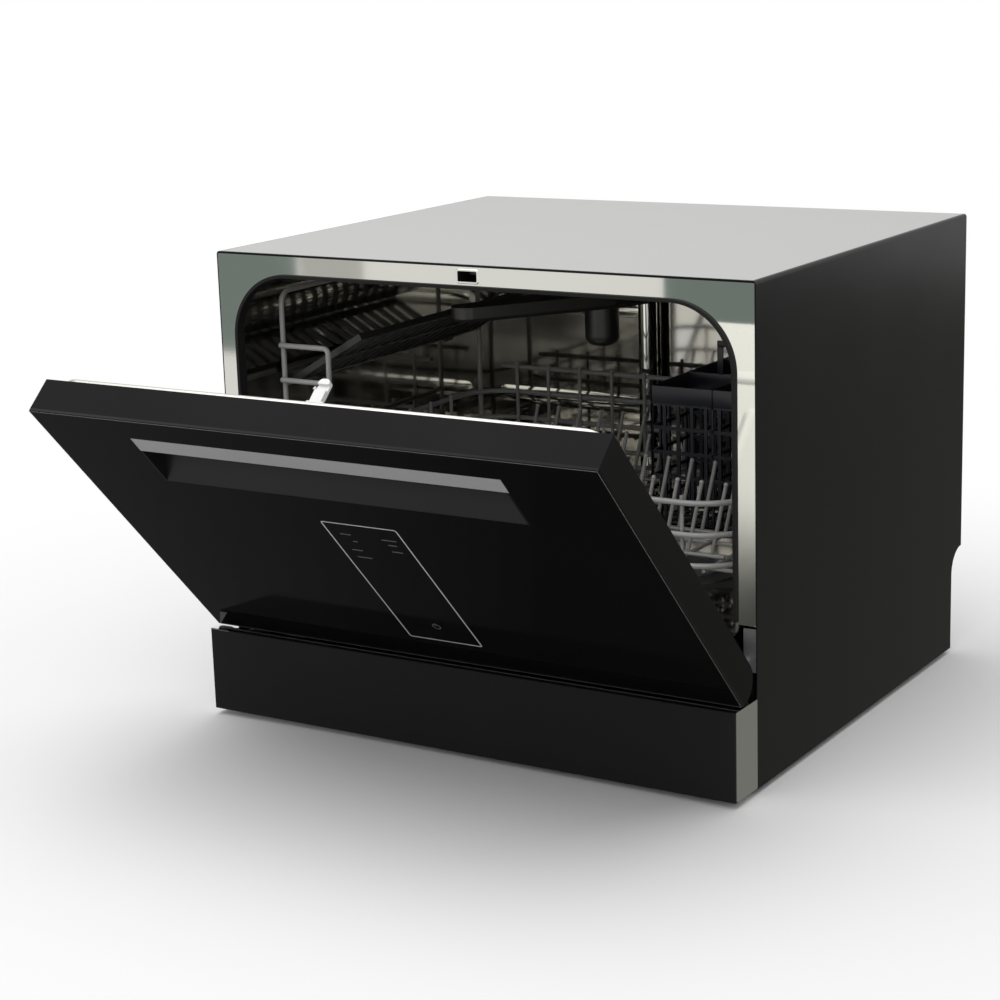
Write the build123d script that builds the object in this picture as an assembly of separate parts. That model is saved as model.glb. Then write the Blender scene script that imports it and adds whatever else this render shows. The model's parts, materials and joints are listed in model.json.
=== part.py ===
from build123d import *
import os
from math import cos, radians, sin

# A compact dishwasher with its drop-down door part open.
# While it is built, y = 0 is the front of the steel frame round the tub mouth, -y is towards the user,
# x = 0 is the middle and z = 0 is the surface it stands on. All sizes are in millimetres.

# Cabinet
WIDTH = 550.0
HEIGHT = 438.0
DEPTH = 470.0
SHEET = 1.0
PANEL_GAP = 5.0
FOLD_R = 3.0
RETURN = 12.0
RAIL_FLANGE = 18.0
TUB_BACK_ROOM = 40.0
NOTCH_DEPTH = 25.0
NOTCH_TOP = 106.0
RUN_GAP = 0.3
SEAT_GAP = 0.2

# Steel frame and tub
COLUMN = 18.0
TOP_RAIL = 18.5
TUB_R = 60.0
TUB_FLOOR = 131.0
PAN_HEIGHT = 19.0
PAN_R = 16.0
COLUMN_END = 148.0
SILL_END = 100.0
SEAL_WIDTH = 3.0
SEAL_DEPTH = 8.0
LOWER_SEAL_SIDE = 7.0
LOWER_SEAL_THICK = 6.0
SLOT_WIDTH = 20.0
SLOT_TALL = 9.5
SLOT_DROP = 5.5

# Door and its hinge
DOOR_STAND = 42.0
DOOR_TOP_GAP = 4.0
DOOR_ANGLE = 43.0
DOOR_WALL = 2.0
DOOR_GLASS = 3.0
HINGE_OUT = 28.0
HINGE_Z = 106.0
HEEL_R = 19.5
LINER_PROUD = 5.5
LINER_SIDE = 10.0
LINER_LOW = 120.0
LINER_TOP_GAP = 3.0
LINER_R = 18.0
PIN_R = 5.0
BRACKET_THICK = 4.0
BRACKET_SIDE = 13.0
ARM_THICK = 4.0
ARM_TOP = 300.0

# Handle
HANDLE_SIDE = 94.0
HANDLE_DROP = 26.0
STRIP_TALL = 18.0
SCOOP_TALL = 44.0
STRIP_DEPTH = 5.0
SCOOP_DEPTH = 24.0

# Touch board behind the control window
CONTROL_WIDTH = 76.0
CONTROL_RISE = 22.5
CONTROL_DROP = 34.0
BOARD_THICK = 1.6

# Detergent dispenser
DISP_WIDTH = 160.0
DISP_HEIGHT = 114.0
DISP_DROP = 13.5
DISP_DEPTH = 27.0
DISP_RIM = 6.0
CUP_WIDTH = 76.0
CUP_HEIGHT = 76.0
CUP_X = -28.0
CUP_DEPTH = 22.0
LID_THICK = 2.5
CAP_X = 46.0
CAP_R = 16.0
CAP_HIGH = 8.0
CATCH_WIDTH = 20.0
CATCH_HEIGHT = 7.0
CATCH_TRAVEL = 3.0

# Plinth
PLINTH_TOP = 85.0
PLINTH_LOW = 6.0
PLINTH_SKIN = 2.0

# Base tray and feet
TRAY_WALL = 2.5
TRAY_FLOOR = 3.0
TRAY_RIM = 45.0
POST = 24.0
POST_SIDE = 45.0
POST_INSET = 40.0
FOOT_R = 14.0
FOOT_SIDE = 85.0
FOOT_INSET = 45.0
FOOT_PLUG_R = 5.0

# Spray system
ARM_HEIGHT = 14.0
ARM_HUB_R = 22.0
UPPER_HUB_R = 28.0
UPPER_HUB_BACK = 20.0
ARM_TIP_W = 30.0
LOWER_ARM_ROOM = 20.0
UPPER_ARM_ROOM = 55.0
LOWER_ARM_RISE = 19.0
UPPER_ARM_DROP = 51.5
LOWER_ARM_TURN = 20.0
UPPER_ARM_TURN = 60.5
NOZZLE_R = 1.6
NOZZLES = 5
SPIGOT_R = 9.0
HUB_FLANGE_R = 30.0
HUB_BORE_R = 6.0
NUT_R = 14.0
NUT_HIGH = 8.0
UPPER_NUT_R = 16.5
UPPER_NUT_HIGH = 38.0
FEED_R = 10.0
FEED_BORE_R = 8.0
FEED_X = -48.0
FEED_BACK_ROOM = 14.0
FEED_DROP = 14.5
FEED_BEND = 16.0

# Sump and filters
SUMP_X = 105.0
SUMP_FORWARD = 25.0
SUMP_R = 55.0
SUMP_WALL = 3.0
SUMP_LOW = 40.0
FILTER_R = 36.0
FILTER_WALL = 1.5
FILTER_HIGH = 54.0
MESH_THICK = 1.2

# Pumps, heater and hoses
PUMP_BACK_ROOM = 100.0
PUMP_Z = 80.0
VOLUTE_R = 38.0
VOLUTE_WIDTH = 32.0
MOTOR_R = 34.0
MOTOR_LONG = 100.0
IMPELLER_R = 30.0
SHAFT_R = 3.0
DRAIN_Z = 62.0
DRAIN_R = 26.0
DRAIN_VOLUTE = 28.0
DRAIN_MOTOR_R = 22.0
DRAIN_MOTOR = 39.0
DRAIN_IMPELLER_R = 18.0
HOSE_R = 12.0
HOSE_BORE_R = 9.1
THIN_HOSE_R = 5.0
THIN_BORE_R = 3.5
HEATER_R = 20.0

# Water softener, inlet and rear connections
SALT_SIDE = 145.0
SALT_FORWARD = 70.0
SALT_SIZE = 100.0
SALT_LOW = 50.0
SALT_WALL = 3.0
NECK_R = 28.0
NECK_WALL = 4.0
NECK_PROUD = 7.0
SALT_CAP_R = 33.0
SALT_CAP_HIGH = 8.0
CHAMBER_LOW = 190.0
CHAMBER_DROP = 34.5
CHAMBER_FRONT = 150.0
CHAMBER_TAIL = 10.0
CHAMBER_THICK = 13.0
OUTLET_Z = 62.0
VALVE_SIDE = 93.0
THREAD_R = 13.2
THREAD_LONG = 14.0
DRAIN_OUT_SIDE = 70.0
DRAIN_OUT_R = 9.5
DRAIN_OUT_LONG = 18.0
GLAND_X = 100.0
GLAND_R = 8.0
GLAND_BORE_R = 4.2
COLLAR = 2.5

# Power board box and overflow float
BOX_PUMP_GAP = 11.0
BOX_POST_GAP = 4.0
BOX_Y = 55.0
BOX_LONG = 78.0
BOX_TALL = 88.0
FLOAT_X = -40.0
FLOAT_Y = 60.0
FLOAT_R = 18.0
FLOAT_HIGH = 12.0
FLOAT_PIN_R = 3.0
FLOAT_PIN_HIGH = 28.0

# Door latch
STRIKER_HALF = 5.5
STRIKER_RISE = 0.6
STRIKER_THICK = 4.9
STRIKER_REACH = 21.0
BARB_WIDTH = 2.2
BARB_LONG = 7.0
CATCH_TOOTH_Y = 13.0
CATCH_PIVOT_Y = 33.0
CATCH_PIVOT_DROP = 1.5
LATCH_HALF = 14.0
LATCH_CAVITY = 11.0
LATCH_LONG = 39.0

# Rack and what it carries
RACK_FRONT = 24.0
RACK_BACK_ROOM = 38.0
RACK_SIDE = 19.0
RACK_R = 45.0
RACK_FLOOR = 178.0
RIM_D = 5.0
WIRE_D = 3.6
TINE_D = 3.4
TINE_TIP_R = 2.1
RIM_LEVELS = (186.0, 213.0, 241.0)
BACK_RIM = 268.0
TINE_TOP = 250.0
TINE_STEP = 24.0
TINE_LEAN = 12.0
TINE_ROWS = (40.0, 113.0, 191.0, 273.0)
FLOOR_STEP = 40.0
WELD_GAP = 0.05
FENCE_SIDE = 6.0
FENCE_DROP = 22.5
FENCE_R = 12.0
SHELF_RAIL_DROP = 87.0
WHEEL_R = 14.0
WHEEL_WIDTH = 9.0
WHEEL_SIDE = 12.0
AXLE_R = 3.0
SHELF_WIDTH = 94.0
SHELF_TILT = 30.0
SHELF_FRONT = 44.0
SHELF_BACK_ROOM = 28.0
SHELF_THICK = 6.0
SHELF_BAR = 5.0
SHELF_RIBS = 17
LOOP_D = 5.0
LOOP_HIGH = 33.0
LOOP_WIDE = 55.0
LOOP_RISE = 20.5
BASKET_SIDE = 78.5
BASKET_BACK_ROOM = 132.0
BASKET_WIDTH = 125.0
BASKET_LONG = 220.0
BASKET_TALL = 129.0
BASKET_WALL = 2.0

# Rear screws
SCREW_R = 1.9
SCREW_HEAD_R = 3.6
SCREW_HEAD = 1.0
SCREW_LONG = 6.0
SCREW_ROWS = 5

# Levels and planes that follow from the sizes above
HALF = WIDTH / 2
INSIDE = HALF - SHEET
TUB_X = HALF - COLUMN
TUB_TOP = HEIGHT - TOP_RAIL
TUB_DEPTH = DEPTH - TUB_BACK_ROOM
PAN_TOP = TUB_FLOOR + PAN_HEIGHT
FRAME_TOP = HEIGHT - 2 * SHEET
COVE_Z = NOTCH_TOP - NOTCH_DEPTH
TRAY_BACK = DEPTH - NOTCH_DEPTH - 2 * SHEET
TRAY_TOP = PANEL_GAP + TRAY_FLOOR
TUB_MID = TUB_DEPTH / 2
HINGE_Y = -HINGE_OUT
DOOR_IN = HINGE_Y + HEEL_R
DOOR_OUT = -DOOR_STAND
DOOR_TOP = HEIGHT - DOOR_TOP_GAP
SLOT_HIGH = HEIGHT - SLOT_DROP
SLOT_LOW = SLOT_HIGH - SLOT_TALL
STRIKER_LOW = SLOT_LOW + STRIKER_RISE
CATCH_PIVOT_Z = SLOT_HIGH - CATCH_PIVOT_DROP
BRACKET_X = HALF - BRACKET_SIDE
HANDLE_HALF = HALF - HANDLE_SIDE
HANDLE_HIGH = DOOR_TOP - HANDLE_DROP
STRIP_LOW = HANDLE_HIGH - STRIP_TALL
HANDLE_LOW = STRIP_LOW - SCOOP_TALL
CONTROL_LOW = HINGE_Z + CONTROL_RISE
CONTROL_HIGH = HANDLE_LOW - CONTROL_DROP
GLASS_IN = DOOR_OUT + DOOR_GLASS
GLASS_LOW = HINGE_Z - (HEEL_R ** 2 - (DOOR_STAND - HINGE_OUT) ** 2) ** 0.5
LINER_FACE = DOOR_IN + LINER_PROUD
LINER_HALF = HALF - LINER_SIDE
LINER_TOP = DOOR_TOP - LINER_TOP_GAP
DISP_Z = (LINER_TOP + LINER_LOW) / 2 - DISP_DROP
ARM_IN = HALF - DOOR_WALL - ARM_THICK
REST_FRONT = HINGE_Y - (DOOR_STAND - HINGE_OUT) * cos(radians(DOOR_ANGLE)) - (DOOR_TOP - HINGE_Z) * sin(
    radians(DOOR_ANGLE)
)
ORIGIN_Y = (DEPTH + REST_FRONT) / 2
POST_X = HALF - POST_SIDE
FOOT_X = HALF - FOOT_SIDE
LOWER_ARM_R = TUB_MID - LOWER_ARM_ROOM
UPPER_ARM_R = TUB_MID - UPPER_ARM_ROOM
LOWER_ARM_Z = TUB_FLOOR + LOWER_ARM_RISE
UPPER_ARM_Z = TUB_TOP - UPPER_ARM_DROP
UPPER_HUB_Y = TUB_MID + UPPER_HUB_BACK
FEED_Y = TUB_DEPTH - FEED_BACK_ROOM
FEED_Z = TUB_TOP - FEED_DROP
SUMP_Y = TUB_MID - SUMP_FORWARD
PUMP_Y = TUB_DEPTH - PUMP_BACK_ROOM
SALT_X = SALT_SIDE - HALF
SALT_Y = TUB_MID - SALT_FORWARD
CHAMBER_HIGH = TUB_TOP - CHAMBER_DROP
CHAMBER_BACK = TUB_DEPTH + CHAMBER_TAIL
VALVE_X = VALVE_SIDE - HALF
DRAIN_OUT_X = HALF - DRAIN_OUT_SIDE
RACK_BACK = TUB_DEPTH - RACK_BACK_ROOM
RACK_HALF = TUB_X - RACK_SIDE
FENCE_X = RACK_HALF - FENCE_SIDE
FENCE_TOP = TUB_TOP - FENCE_DROP
SHELF_RAIL_Z = FENCE_TOP - SHELF_RAIL_DROP
SHELF_BACK = RACK_BACK - SHELF_BACK_ROOM
WHEEL_X = RACK_HALF - WHEEL_SIDE
BASKET_X = RACK_HALF - BASKET_SIDE
BASKET_Y = RACK_BACK - BASKET_BACK_ROOM
FLOOR_TOP = RACK_FLOOR + 1.5 * WIRE_D + WELD_GAP
WHEEL_Z = TUB_FLOOR + WHEEL_R + RUN_GAP


def block(x0, x1, y0, y1, z0, z1):
    """A box between two corners."""
    return Pos((x0 + x1) / 2, (y0 + y1) / 2, (z0 + z1) / 2) * Box(x1 - x0, y1 - y0, z1 - z0)


def drum_x(r, x0, x1, y, z):
    return Pos((x0 + x1) / 2, y, z) * Rot(0, 90, 0) * Cylinder(r, x1 - x0)


def drum_y(r, y0, y1, x, z):
    return Pos(x, (y0 + y1) / 2, z) * Rot(90, 0, 0) * Cylinder(r, y1 - y0)


def drum_z(r, z0, z1, x, y):
    return Pos(x, y, (z0 + z1) / 2) * Cylinder(r, z1 - z0)


def across(sketch, x0, x1):
    """Extrude a sketch drawn in (y, z) between two x values."""
    return Pos(x0, 0, 0) * extrude(Plane.YZ * sketch, x1 - x0)


def along(sketch, y0, y1):
    """Extrude a sketch drawn in (x, z) between two y values."""
    return Pos(0, y1, 0) * extrude(Plane.XZ * sketch, y1 - y0)


def rect(u0, u1, v0, v1):
    return Pos((u0 + u1) / 2, (v0 + v1) / 2) * Rectangle(u1 - u0, v1 - v0)


def rod(start, end, d):
    """A straight wire between two points."""
    start, end = Vector(start), Vector(end)
    run = end - start
    return extrude(Plane(origin=start, z_dir=run) * Circle(d / 2), run.length)


def bent(points, bend, r, bore=0.0):
    """A wire or hose along straight runs joined by arcs."""
    path = FilletPolyline(*points, radius=bend)
    ring = Circle(r) - Circle(bore) if bore else Circle(r)
    return sweep(Plane(origin=path @ 0, z_dir=path % 0) * ring, path=path)


def mirrored(shape):
    """The same piece on the other side of the middle plane."""
    return mirror(shape, about=Plane.YZ)


def pair(shape):
    return [shape, mirrored(shape)]


def on_door(shape):
    """Swing a piece of the closed door to the angle at which it rests."""
    return Pos(0, HINGE_Y, HINGE_Z) * Rot(DOOR_ANGLE, 0, 0) * Pos(0, -HINGE_Y, -HINGE_Z) * shape


def cabinet_outline(inset):
    """The cabinet seen from the side, with the hollow for the hoses at the lower rear."""
    back = DEPTH - inset
    outline = rect(0, back, PANEL_GAP, HEIGHT - FOLD_R)
    outline -= Pos(DEPTH, COVE_Z) * Circle(NOTCH_DEPTH + inset)
    return outline - rect(back - NOTCH_DEPTH, DEPTH + NOTCH_DEPTH, 0, COVE_Z)


def mouth(side, top, corner, low):
    """An arch with two rounded upper corners, as the tub is seen from the front."""
    whole = rect(-side, side, low, top)
    return fillet(whole.vertices().group_by(Axis.Y)[-1], corner)


def screw_places():
    """Rear screws: a column down each side flange."""
    low = NOTCH_TOP + 2 * RETURN
    high = FRAME_TOP - 2 * RETURN
    step = (high - low) / (SCREW_ROWS - 1)
    x = INSIDE - RETURN / 2
    return [(side * x, low + i * step) for side in (-1, 1) for i in range(SCREW_ROWS)]


def right_side_panel():
    panel = across(cabinet_outline(0), INSIDE, HALF)
    fold = Pos(HALF - FOLD_R, HEIGHT - FOLD_R) * (Circle(FOLD_R) - Circle(FOLD_R - SHEET))
    panel += along(fold & rect(HALF - FOLD_R, HALF, HEIGHT - FOLD_R, HEIGHT), 0, DEPTH)
    panel += block(INSIDE - FOLD_R - RETURN, INSIDE - SHEET + SEAT_GAP, 2 * SHEET + SEAT_GAP, DEPTH,
                   HEIGHT - 2 * SHEET, HEIGHT - SHEET)
    panel += block(INSIDE - RETURN, INSIDE + SHEET / 2, SHEET, 2 * SHEET, COLUMN_END, HEIGHT - FOLD_R - SHEET)
    back = DEPTH - 2 * SHEET
    panel += block(INSIDE - RETURN, INSIDE + SHEET / 2, back - SHEET, back, NOTCH_TOP + RETURN / 2,
                   HEIGHT - FOLD_R - SHEET)
    for x, z in screw_places():
        panel -= drum_y(SCREW_R + SEAT_GAP, back - 2 * SHEET, back + SHEET, x, z)
    return [panel]


def left_side_panel():
    return [mirrored(right_side_panel()[0])]


def top_panel():
    half = HALF - FOLD_R - SEAT_GAP
    plate = block(-half, half, 2 * SHEET + SEAT_GAP, DEPTH, HEIGHT - SHEET, HEIGHT)
    return [chamfer(plate.faces().sort_by(Axis.Z)[-1].edges(), SHEET / 3)]


def top_front_rail():
    half = HALF - FOLD_R - SEAT_GAP
    inner = INSIDE - FOLD_R - RETURN - SEAT_GAP
    lip = block(-half, half, 0, 2 * SHEET, FRAME_TOP, HEIGHT)
    return [lip + block(-inner, inner, SHEET, RAIL_FLANGE, FRAME_TOP, HEIGHT - SHEET)]


def rear_panel():
    skin = cabinet_outline(SHEET) - cabinet_outline(2 * SHEET)
    half = INSIDE - SEAT_GAP
    panel = across(skin, -half, half)
    holes = ((VALVE_X, THREAD_R + COLLAR), (DRAIN_OUT_X, DRAIN_OUT_R + COLLAR), (GLAND_X, GLAND_R))
    for x, r in holes:
        panel -= drum_y(r + SEAT_GAP, TRAY_BACK - SHEET, TRAY_BACK + 3 * SHEET, x, OUTLET_Z)
    for x, z in screw_places():
        panel -= drum_y(SCREW_R + SEAT_GAP, DEPTH - 3 * SHEET, DEPTH, x, z)
    return [panel]


def panel_screws():
    seat = DEPTH - SHEET
    screws = []
    for x, z in screw_places():
        head = drum_y(SCREW_HEAD_R, seat, seat + SCREW_HEAD, x, z)
        screws.append(head + drum_y(SCREW_R, seat - SCREW_LONG, seat, x, z))
    return screws


def post_places():
    return [(side * POST_X, y) for side in (-1, 1) for y in (POST_INSET, TUB_DEPTH - POST_INSET + SHEET)]


def foot_places():
    return [(side * FOOT_X, y) for side in (-1, 1) for y in (FOOT_INSET, TRAY_BACK - FOOT_INSET)]


def base_tray():
    half = INSIDE - SEAT_GAP
    tray = block(-half, half, 0, TRAY_BACK, PANEL_GAP, TRAY_RIM)
    room = half - TRAY_WALL
    tray -= block(-room, room, TRAY_WALL, TRAY_BACK - TRAY_WALL, TRAY_TOP, TRAY_RIM + 1)
    for x, y in post_places():
        tray += block(x - POST / 2, x + POST / 2, y - POST / 2, y + POST / 2, PANEL_GAP, TUB_FLOOR - SHEET)
    for x, y in foot_places():
        tray -= drum_z(FOOT_PLUG_R + SEAT_GAP / 2, 0, TRAY_TOP + 1, x, y)
    return [tray + drum_z(FLOAT_PIN_R, PANEL_GAP, TRAY_TOP + FLOAT_PIN_HIGH, FLOAT_X, FLOAT_Y)]


def feet():
    return [drum_z(FOOT_R, 0, PANEL_GAP, x, y) + drum_z(FOOT_PLUG_R, 0, TRAY_TOP, x, y)
            for x, y in foot_places()]


def plinth_panel():
    plate = block(-HALF, HALF, DOOR_OUT, DOOR_OUT + PLINTH_SKIN, PLINTH_LOW, PLINTH_TOP)
    return [chamfer(plate.faces().sort_by(Axis.Y)[0].edges(), PLINTH_SKIN / 3)]


def plinth_frame():
    front = DOOR_OUT + PLINTH_SKIN
    tube = block(-HALF, HALF, front, 0, PLINTH_LOW, PLINTH_TOP)
    return [tube - block(-INSIDE, INSIDE, front - 1, 1, PLINTH_LOW + SHEET, PLINTH_TOP - SHEET)]


def front_frame():
    half = INSIDE - SEAT_GAP
    sheet = rect(-half, half, COLUMN_END, FRAME_TOP) - mouth(TUB_X, TUB_TOP, TUB_R, COLUMN_END - 1)
    sheet -= rect(-SLOT_WIDTH / 2, SLOT_WIDTH / 2, SLOT_LOW, SLOT_HIGH)
    return [along(sheet, 0, SHEET)]


def tub_wrap():
    skin = mouth(TUB_X + SHEET, TUB_TOP + SHEET, TUB_R + SHEET, PAN_TOP)
    skin -= mouth(TUB_X, TUB_TOP, TUB_R, PAN_TOP - 1)
    return [along(skin, SHEET, TUB_DEPTH)]


def tub_back():
    side = TUB_X + SHEET
    plate = mouth(side, TUB_TOP + SHEET, TUB_R + SHEET, TUB_FLOOR - SHEET)
    return [along(plate, TUB_DEPTH, TUB_DEPTH + SHEET)]


def pan(side, low, corner):
    """The tub floor seen from the front: flat, with two rounded lower corners."""
    whole = rect(-side, side, low, PAN_TOP)
    return fillet(whole.vertices().group_by(Axis.Y)[0], corner)


def tub_floor():
    skin = pan(TUB_X + SHEET, TUB_FLOOR - SHEET, PAN_R + SHEET)
    skin -= fillet(rect(-TUB_X, TUB_X, TUB_FLOOR, PAN_TOP + 1).vertices().group_by(Axis.Y)[0], PAN_R)
    floor = along(skin, SHEET, TUB_DEPTH)
    lip = TUB_X - PAN_R
    floor += block(-lip, lip, 0, SHEET, SILL_END, TUB_FLOOR)
    floor += block(-lip, lip, SHEET / 2, 2 * SHEET, TUB_FLOOR - SHEET, TUB_FLOOR)
    holes = (
        (SUMP_X, SUMP_Y, SUMP_R - SUMP_WALL),
        (SALT_X, SALT_Y, NECK_R + SEAT_GAP),
        (0, TUB_MID, SPIGOT_R + SHEET),
        (FEED_X, FEED_Y, FEED_R + SEAT_GAP),
    )
    for x, y, r in holes:
        floor -= drum_z(r, TUB_FLOOR - 2 * SHEET, TUB_FLOOR + SHEET, x, y)
    return [floor]


def tub_seal():
    outer = mouth(TUB_X - SEAT_GAP / 4, TUB_TOP - SEAT_GAP / 4, TUB_R - SEAT_GAP / 4, PAN_TOP)
    ring = outer - mouth(TUB_X - SEAL_WIDTH, TUB_TOP - SEAL_WIDTH, TUB_R - SEAL_WIDTH, PAN_TOP - 1)
    return [along(ring, LINER_FACE + RUN_GAP, SEAL_DEPTH)]


def lower_seal():
    half = TUB_X - LOWER_SEAL_SIDE
    tall = LOWER_SEAL_THICK / 2
    return [block(-half, half, DOOR_IN + RUN_GAP, 0, HINGE_Z - tall, HINGE_Z + tall)]


def sump():
    top = TUB_FLOOR - SHEET
    bowl = drum_z(SUMP_R, SUMP_LOW, top, SUMP_X, SUMP_Y)
    bowl += drum_z(SUMP_R + 3 * SUMP_WALL, top - SUMP_WALL, top, SUMP_X, SUMP_Y)
    bowl += drum_y(HOSE_BORE_R, SUMP_Y, SUMP_Y + SUMP_R + HOSE_R, SUMP_X, PUMP_Z)
    bowl += drum_y(HOSE_R, SUMP_Y - SUMP_R - SUMP_WALL, SUMP_Y, SUMP_X, DRAIN_Z)
    bowl -= drum_z(SUMP_R - SUMP_WALL, SUMP_LOW + SUMP_WALL, top + 1, SUMP_X, SUMP_Y)
    bowl -= drum_y(HOSE_BORE_R - SUMP_WALL, SUMP_Y, SUMP_Y + SUMP_R + 2 * HOSE_R, SUMP_X, PUMP_Z)
    bowl -= drum_y(HOSE_R - SUMP_WALL, SUMP_Y - SUMP_R - 2 * SUMP_WALL, SUMP_Y, SUMP_X, DRAIN_Z)
    return [bowl]


def fine_filter():
    """A flat mesh ring that lies on the tub floor over the sump."""
    ring = drum_z(SUMP_R + SUMP_WALL, TUB_FLOOR, TUB_FLOOR + MESH_THICK, SUMP_X, SUMP_Y)
    return [ring - drum_z(FILTER_R + RUN_GAP, TUB_FLOOR - 1, TUB_FLOOR + 2 * MESH_THICK, SUMP_X, SUMP_Y)]


def coarse_filter():
    """The mesh cup that twists out of the flat filter, with a grip bar across it."""
    top = TUB_FLOOR + MESH_THICK
    rim = top + RUN_GAP
    cup = drum_z(FILTER_R, top - FILTER_HIGH, rim, SUMP_X, SUMP_Y)
    cup += drum_z(FILTER_R + 2 * MESH_THICK, rim, rim + MESH_THICK, SUMP_X, SUMP_Y)
    floor = top - FILTER_HIGH + FILTER_WALL
    cup -= drum_z(FILTER_R - FILTER_WALL, floor, rim + 2 * MESH_THICK, SUMP_X, SUMP_Y)
    return [cup + block(SUMP_X - FILTER_R, SUMP_X + FILTER_R, SUMP_Y - FILTER_WALL, SUMP_Y + FILTER_WALL,
                        rim - FILTER_R / 2, rim + 4 * MESH_THICK)]


def spray_hub():
    """The pillar that feeds and carries the lower arm."""
    top = LOWER_ARM_Z + ARM_HEIGHT + RUN_GAP
    hub = drum_z(HUB_FLANGE_R, TUB_FLOOR, TUB_FLOOR + 3 * SHEET, 0, TUB_MID)
    hub += drum_z(NUT_R, TUB_FLOOR, LOWER_ARM_Z - RUN_GAP, 0, TUB_MID)
    hub += drum_z(SPIGOT_R, PUMP_Z + VOLUTE_R / 2, top, 0, TUB_MID)
    return [hub - drum_z(HUB_BORE_R, PUMP_Z, top + 1, 0, TUB_MID)]


def arm_blade(reach, hub, side):
    """A flat arm with two tapering blades and nozzles on one side (1 above, -1 below)."""
    sketch = Circle(hub)
    for turn in (0, 180):
        half = ARM_TIP_W / 2
        tip = reach - half
        blade = Polyline((0, hub), (tip, half), (tip, -half), (0, -hub), close=True)
        sketch += Rot(0, 0, turn) * (make_face(blade) + Pos(tip, 0) * Circle(half))
    arm = extrude(sketch, ARM_HEIGHT)
    face = arm.faces().sort_by(Axis.Z)[-1 if side > 0 else 0]
    arm = chamfer(face.edges(), ARM_HEIGHT / 4)
    middle = ARM_HEIGHT * (0.5 + side / 2)
    step = (reach - 2 * ARM_TIP_W) / NOZZLES
    for turn in (0, 180):
        for i in range(NOZZLES):
            spot = Rot(0, 0, turn) * Pos(hub + (i + 1) * step, 0, middle)
            arm -= spot * Cylinder(NOZZLE_R, ARM_HEIGHT / 2)
    return arm


def lower_spray_arm():
    arm = Pos(0, TUB_MID, LOWER_ARM_Z) * Rot(0, 0, LOWER_ARM_TURN) * arm_blade(LOWER_ARM_R, ARM_HUB_R, 1)
    return [arm - drum_z(SPIGOT_R + RUN_GAP, LOWER_ARM_Z - 1, LOWER_ARM_Z + ARM_HEIGHT + 1, 0, TUB_MID)]


def upper_spray_arm():
    blade = arm_blade(UPPER_ARM_R, UPPER_HUB_R, -1)
    arm = Pos(0, UPPER_HUB_Y, UPPER_ARM_Z) * Rot(0, 0, UPPER_ARM_TURN) * blade
    return [arm - drum_z(FEED_R + RUN_GAP, UPPER_ARM_Z - 1, UPPER_ARM_Z + ARM_HEIGHT + 1, 0, UPPER_HUB_Y)]


def spray_arm_nuts():
    low = LOWER_ARM_Z + ARM_HEIGHT + RUN_GAP
    high = UPPER_ARM_Z - RUN_GAP
    upper = drum_z(UPPER_NUT_R, high - UPPER_NUT_HIGH, high, 0, UPPER_HUB_Y)
    upper = fillet(upper.faces().sort_by(Axis.Z)[0].edges(), UPPER_NUT_R * 0.6)
    return [drum_z(NUT_R, low, low + NUT_HIGH, 0, TUB_MID), upper]


def upper_feed_pipe():
    """Pipe from the pump up the back of the tub and along its ceiling to the upper arm."""
    collar = UPPER_ARM_Z + ARM_HEIGHT + RUN_GAP
    route = [(0, PUMP_Y + VOLUTE_R, PUMP_Z), (0, FEED_Y, PUMP_Z), (FEED_X, FEED_Y, PUMP_Z),
             (FEED_X, FEED_Y, FEED_Z), (0, UPPER_HUB_Y, FEED_Z), (0, UPPER_HUB_Y, UPPER_ARM_Z - RUN_GAP)]
    pipe = bent(route, FEED_BEND, FEED_R, FEED_BORE_R)
    ring = drum_z(NUT_R, collar, collar + 2 * RUN_GAP + SHEET, 0, UPPER_HUB_Y)
    return [pipe + (ring - drum_z(FEED_R - SHEET, collar - 1, collar + 3 * SHEET, 0, UPPER_HUB_Y))]


def wash_pump():
    half = VOLUTE_WIDTH / 2
    pump = drum_x(VOLUTE_R, -half, half, PUMP_Y, PUMP_Z)
    pump += drum_x(MOTOR_R, -half - MOTOR_LONG, -half, PUMP_Y, PUMP_Z)
    pump += drum_y(HOSE_BORE_R, PUMP_Y - VOLUTE_R - HOSE_R, PUMP_Y, 0, PUMP_Z)
    pump += drum_x(HOSE_BORE_R, 0, half + HOSE_R, PUMP_Y, PUMP_Z)
    pump += block(-MOTOR_LONG, -2 * half, PUMP_Y - VOLUTE_R / 2, PUMP_Y + VOLUTE_R / 2, TRAY_TOP, PUMP_Z)
    pump -= drum_x(VOLUTE_R - SUMP_WALL, -half + SUMP_WALL, half - SUMP_WALL, PUMP_Y, PUMP_Z)
    pump -= drum_x(HOSE_BORE_R - SUMP_WALL, 0, half + 2 * HOSE_R, PUMP_Y, PUMP_Z)
    pump -= drum_y(HOSE_BORE_R - SUMP_WALL, PUMP_Y - VOLUTE_R - 2 * HOSE_R, PUMP_Y, 0, PUMP_Z)
    return [pump - drum_x(SHAFT_R + RUN_GAP, -half - MOTOR_LONG / 2, 0, PUMP_Y, PUMP_Z)]


def wash_impeller():
    half = VOLUTE_WIDTH / 2 - SUMP_WALL - 2 * SHEET
    wheel = drum_x(IMPELLER_R, -half, 0, PUMP_Y, PUMP_Z)
    for turn in range(0, 360, 60):
        vane = block(-half / 2, half, -SHEET, SHEET, 0, IMPELLER_R - SHEET)
        wheel += Pos(0, PUMP_Y, PUMP_Z) * Rot(turn, 0, 0) * vane
    return [wheel + drum_x(SHAFT_R, -VOLUTE_WIDTH / 2 - MOTOR_LONG / 2 + SHEET, half, PUMP_Y, PUMP_Z)]


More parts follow.
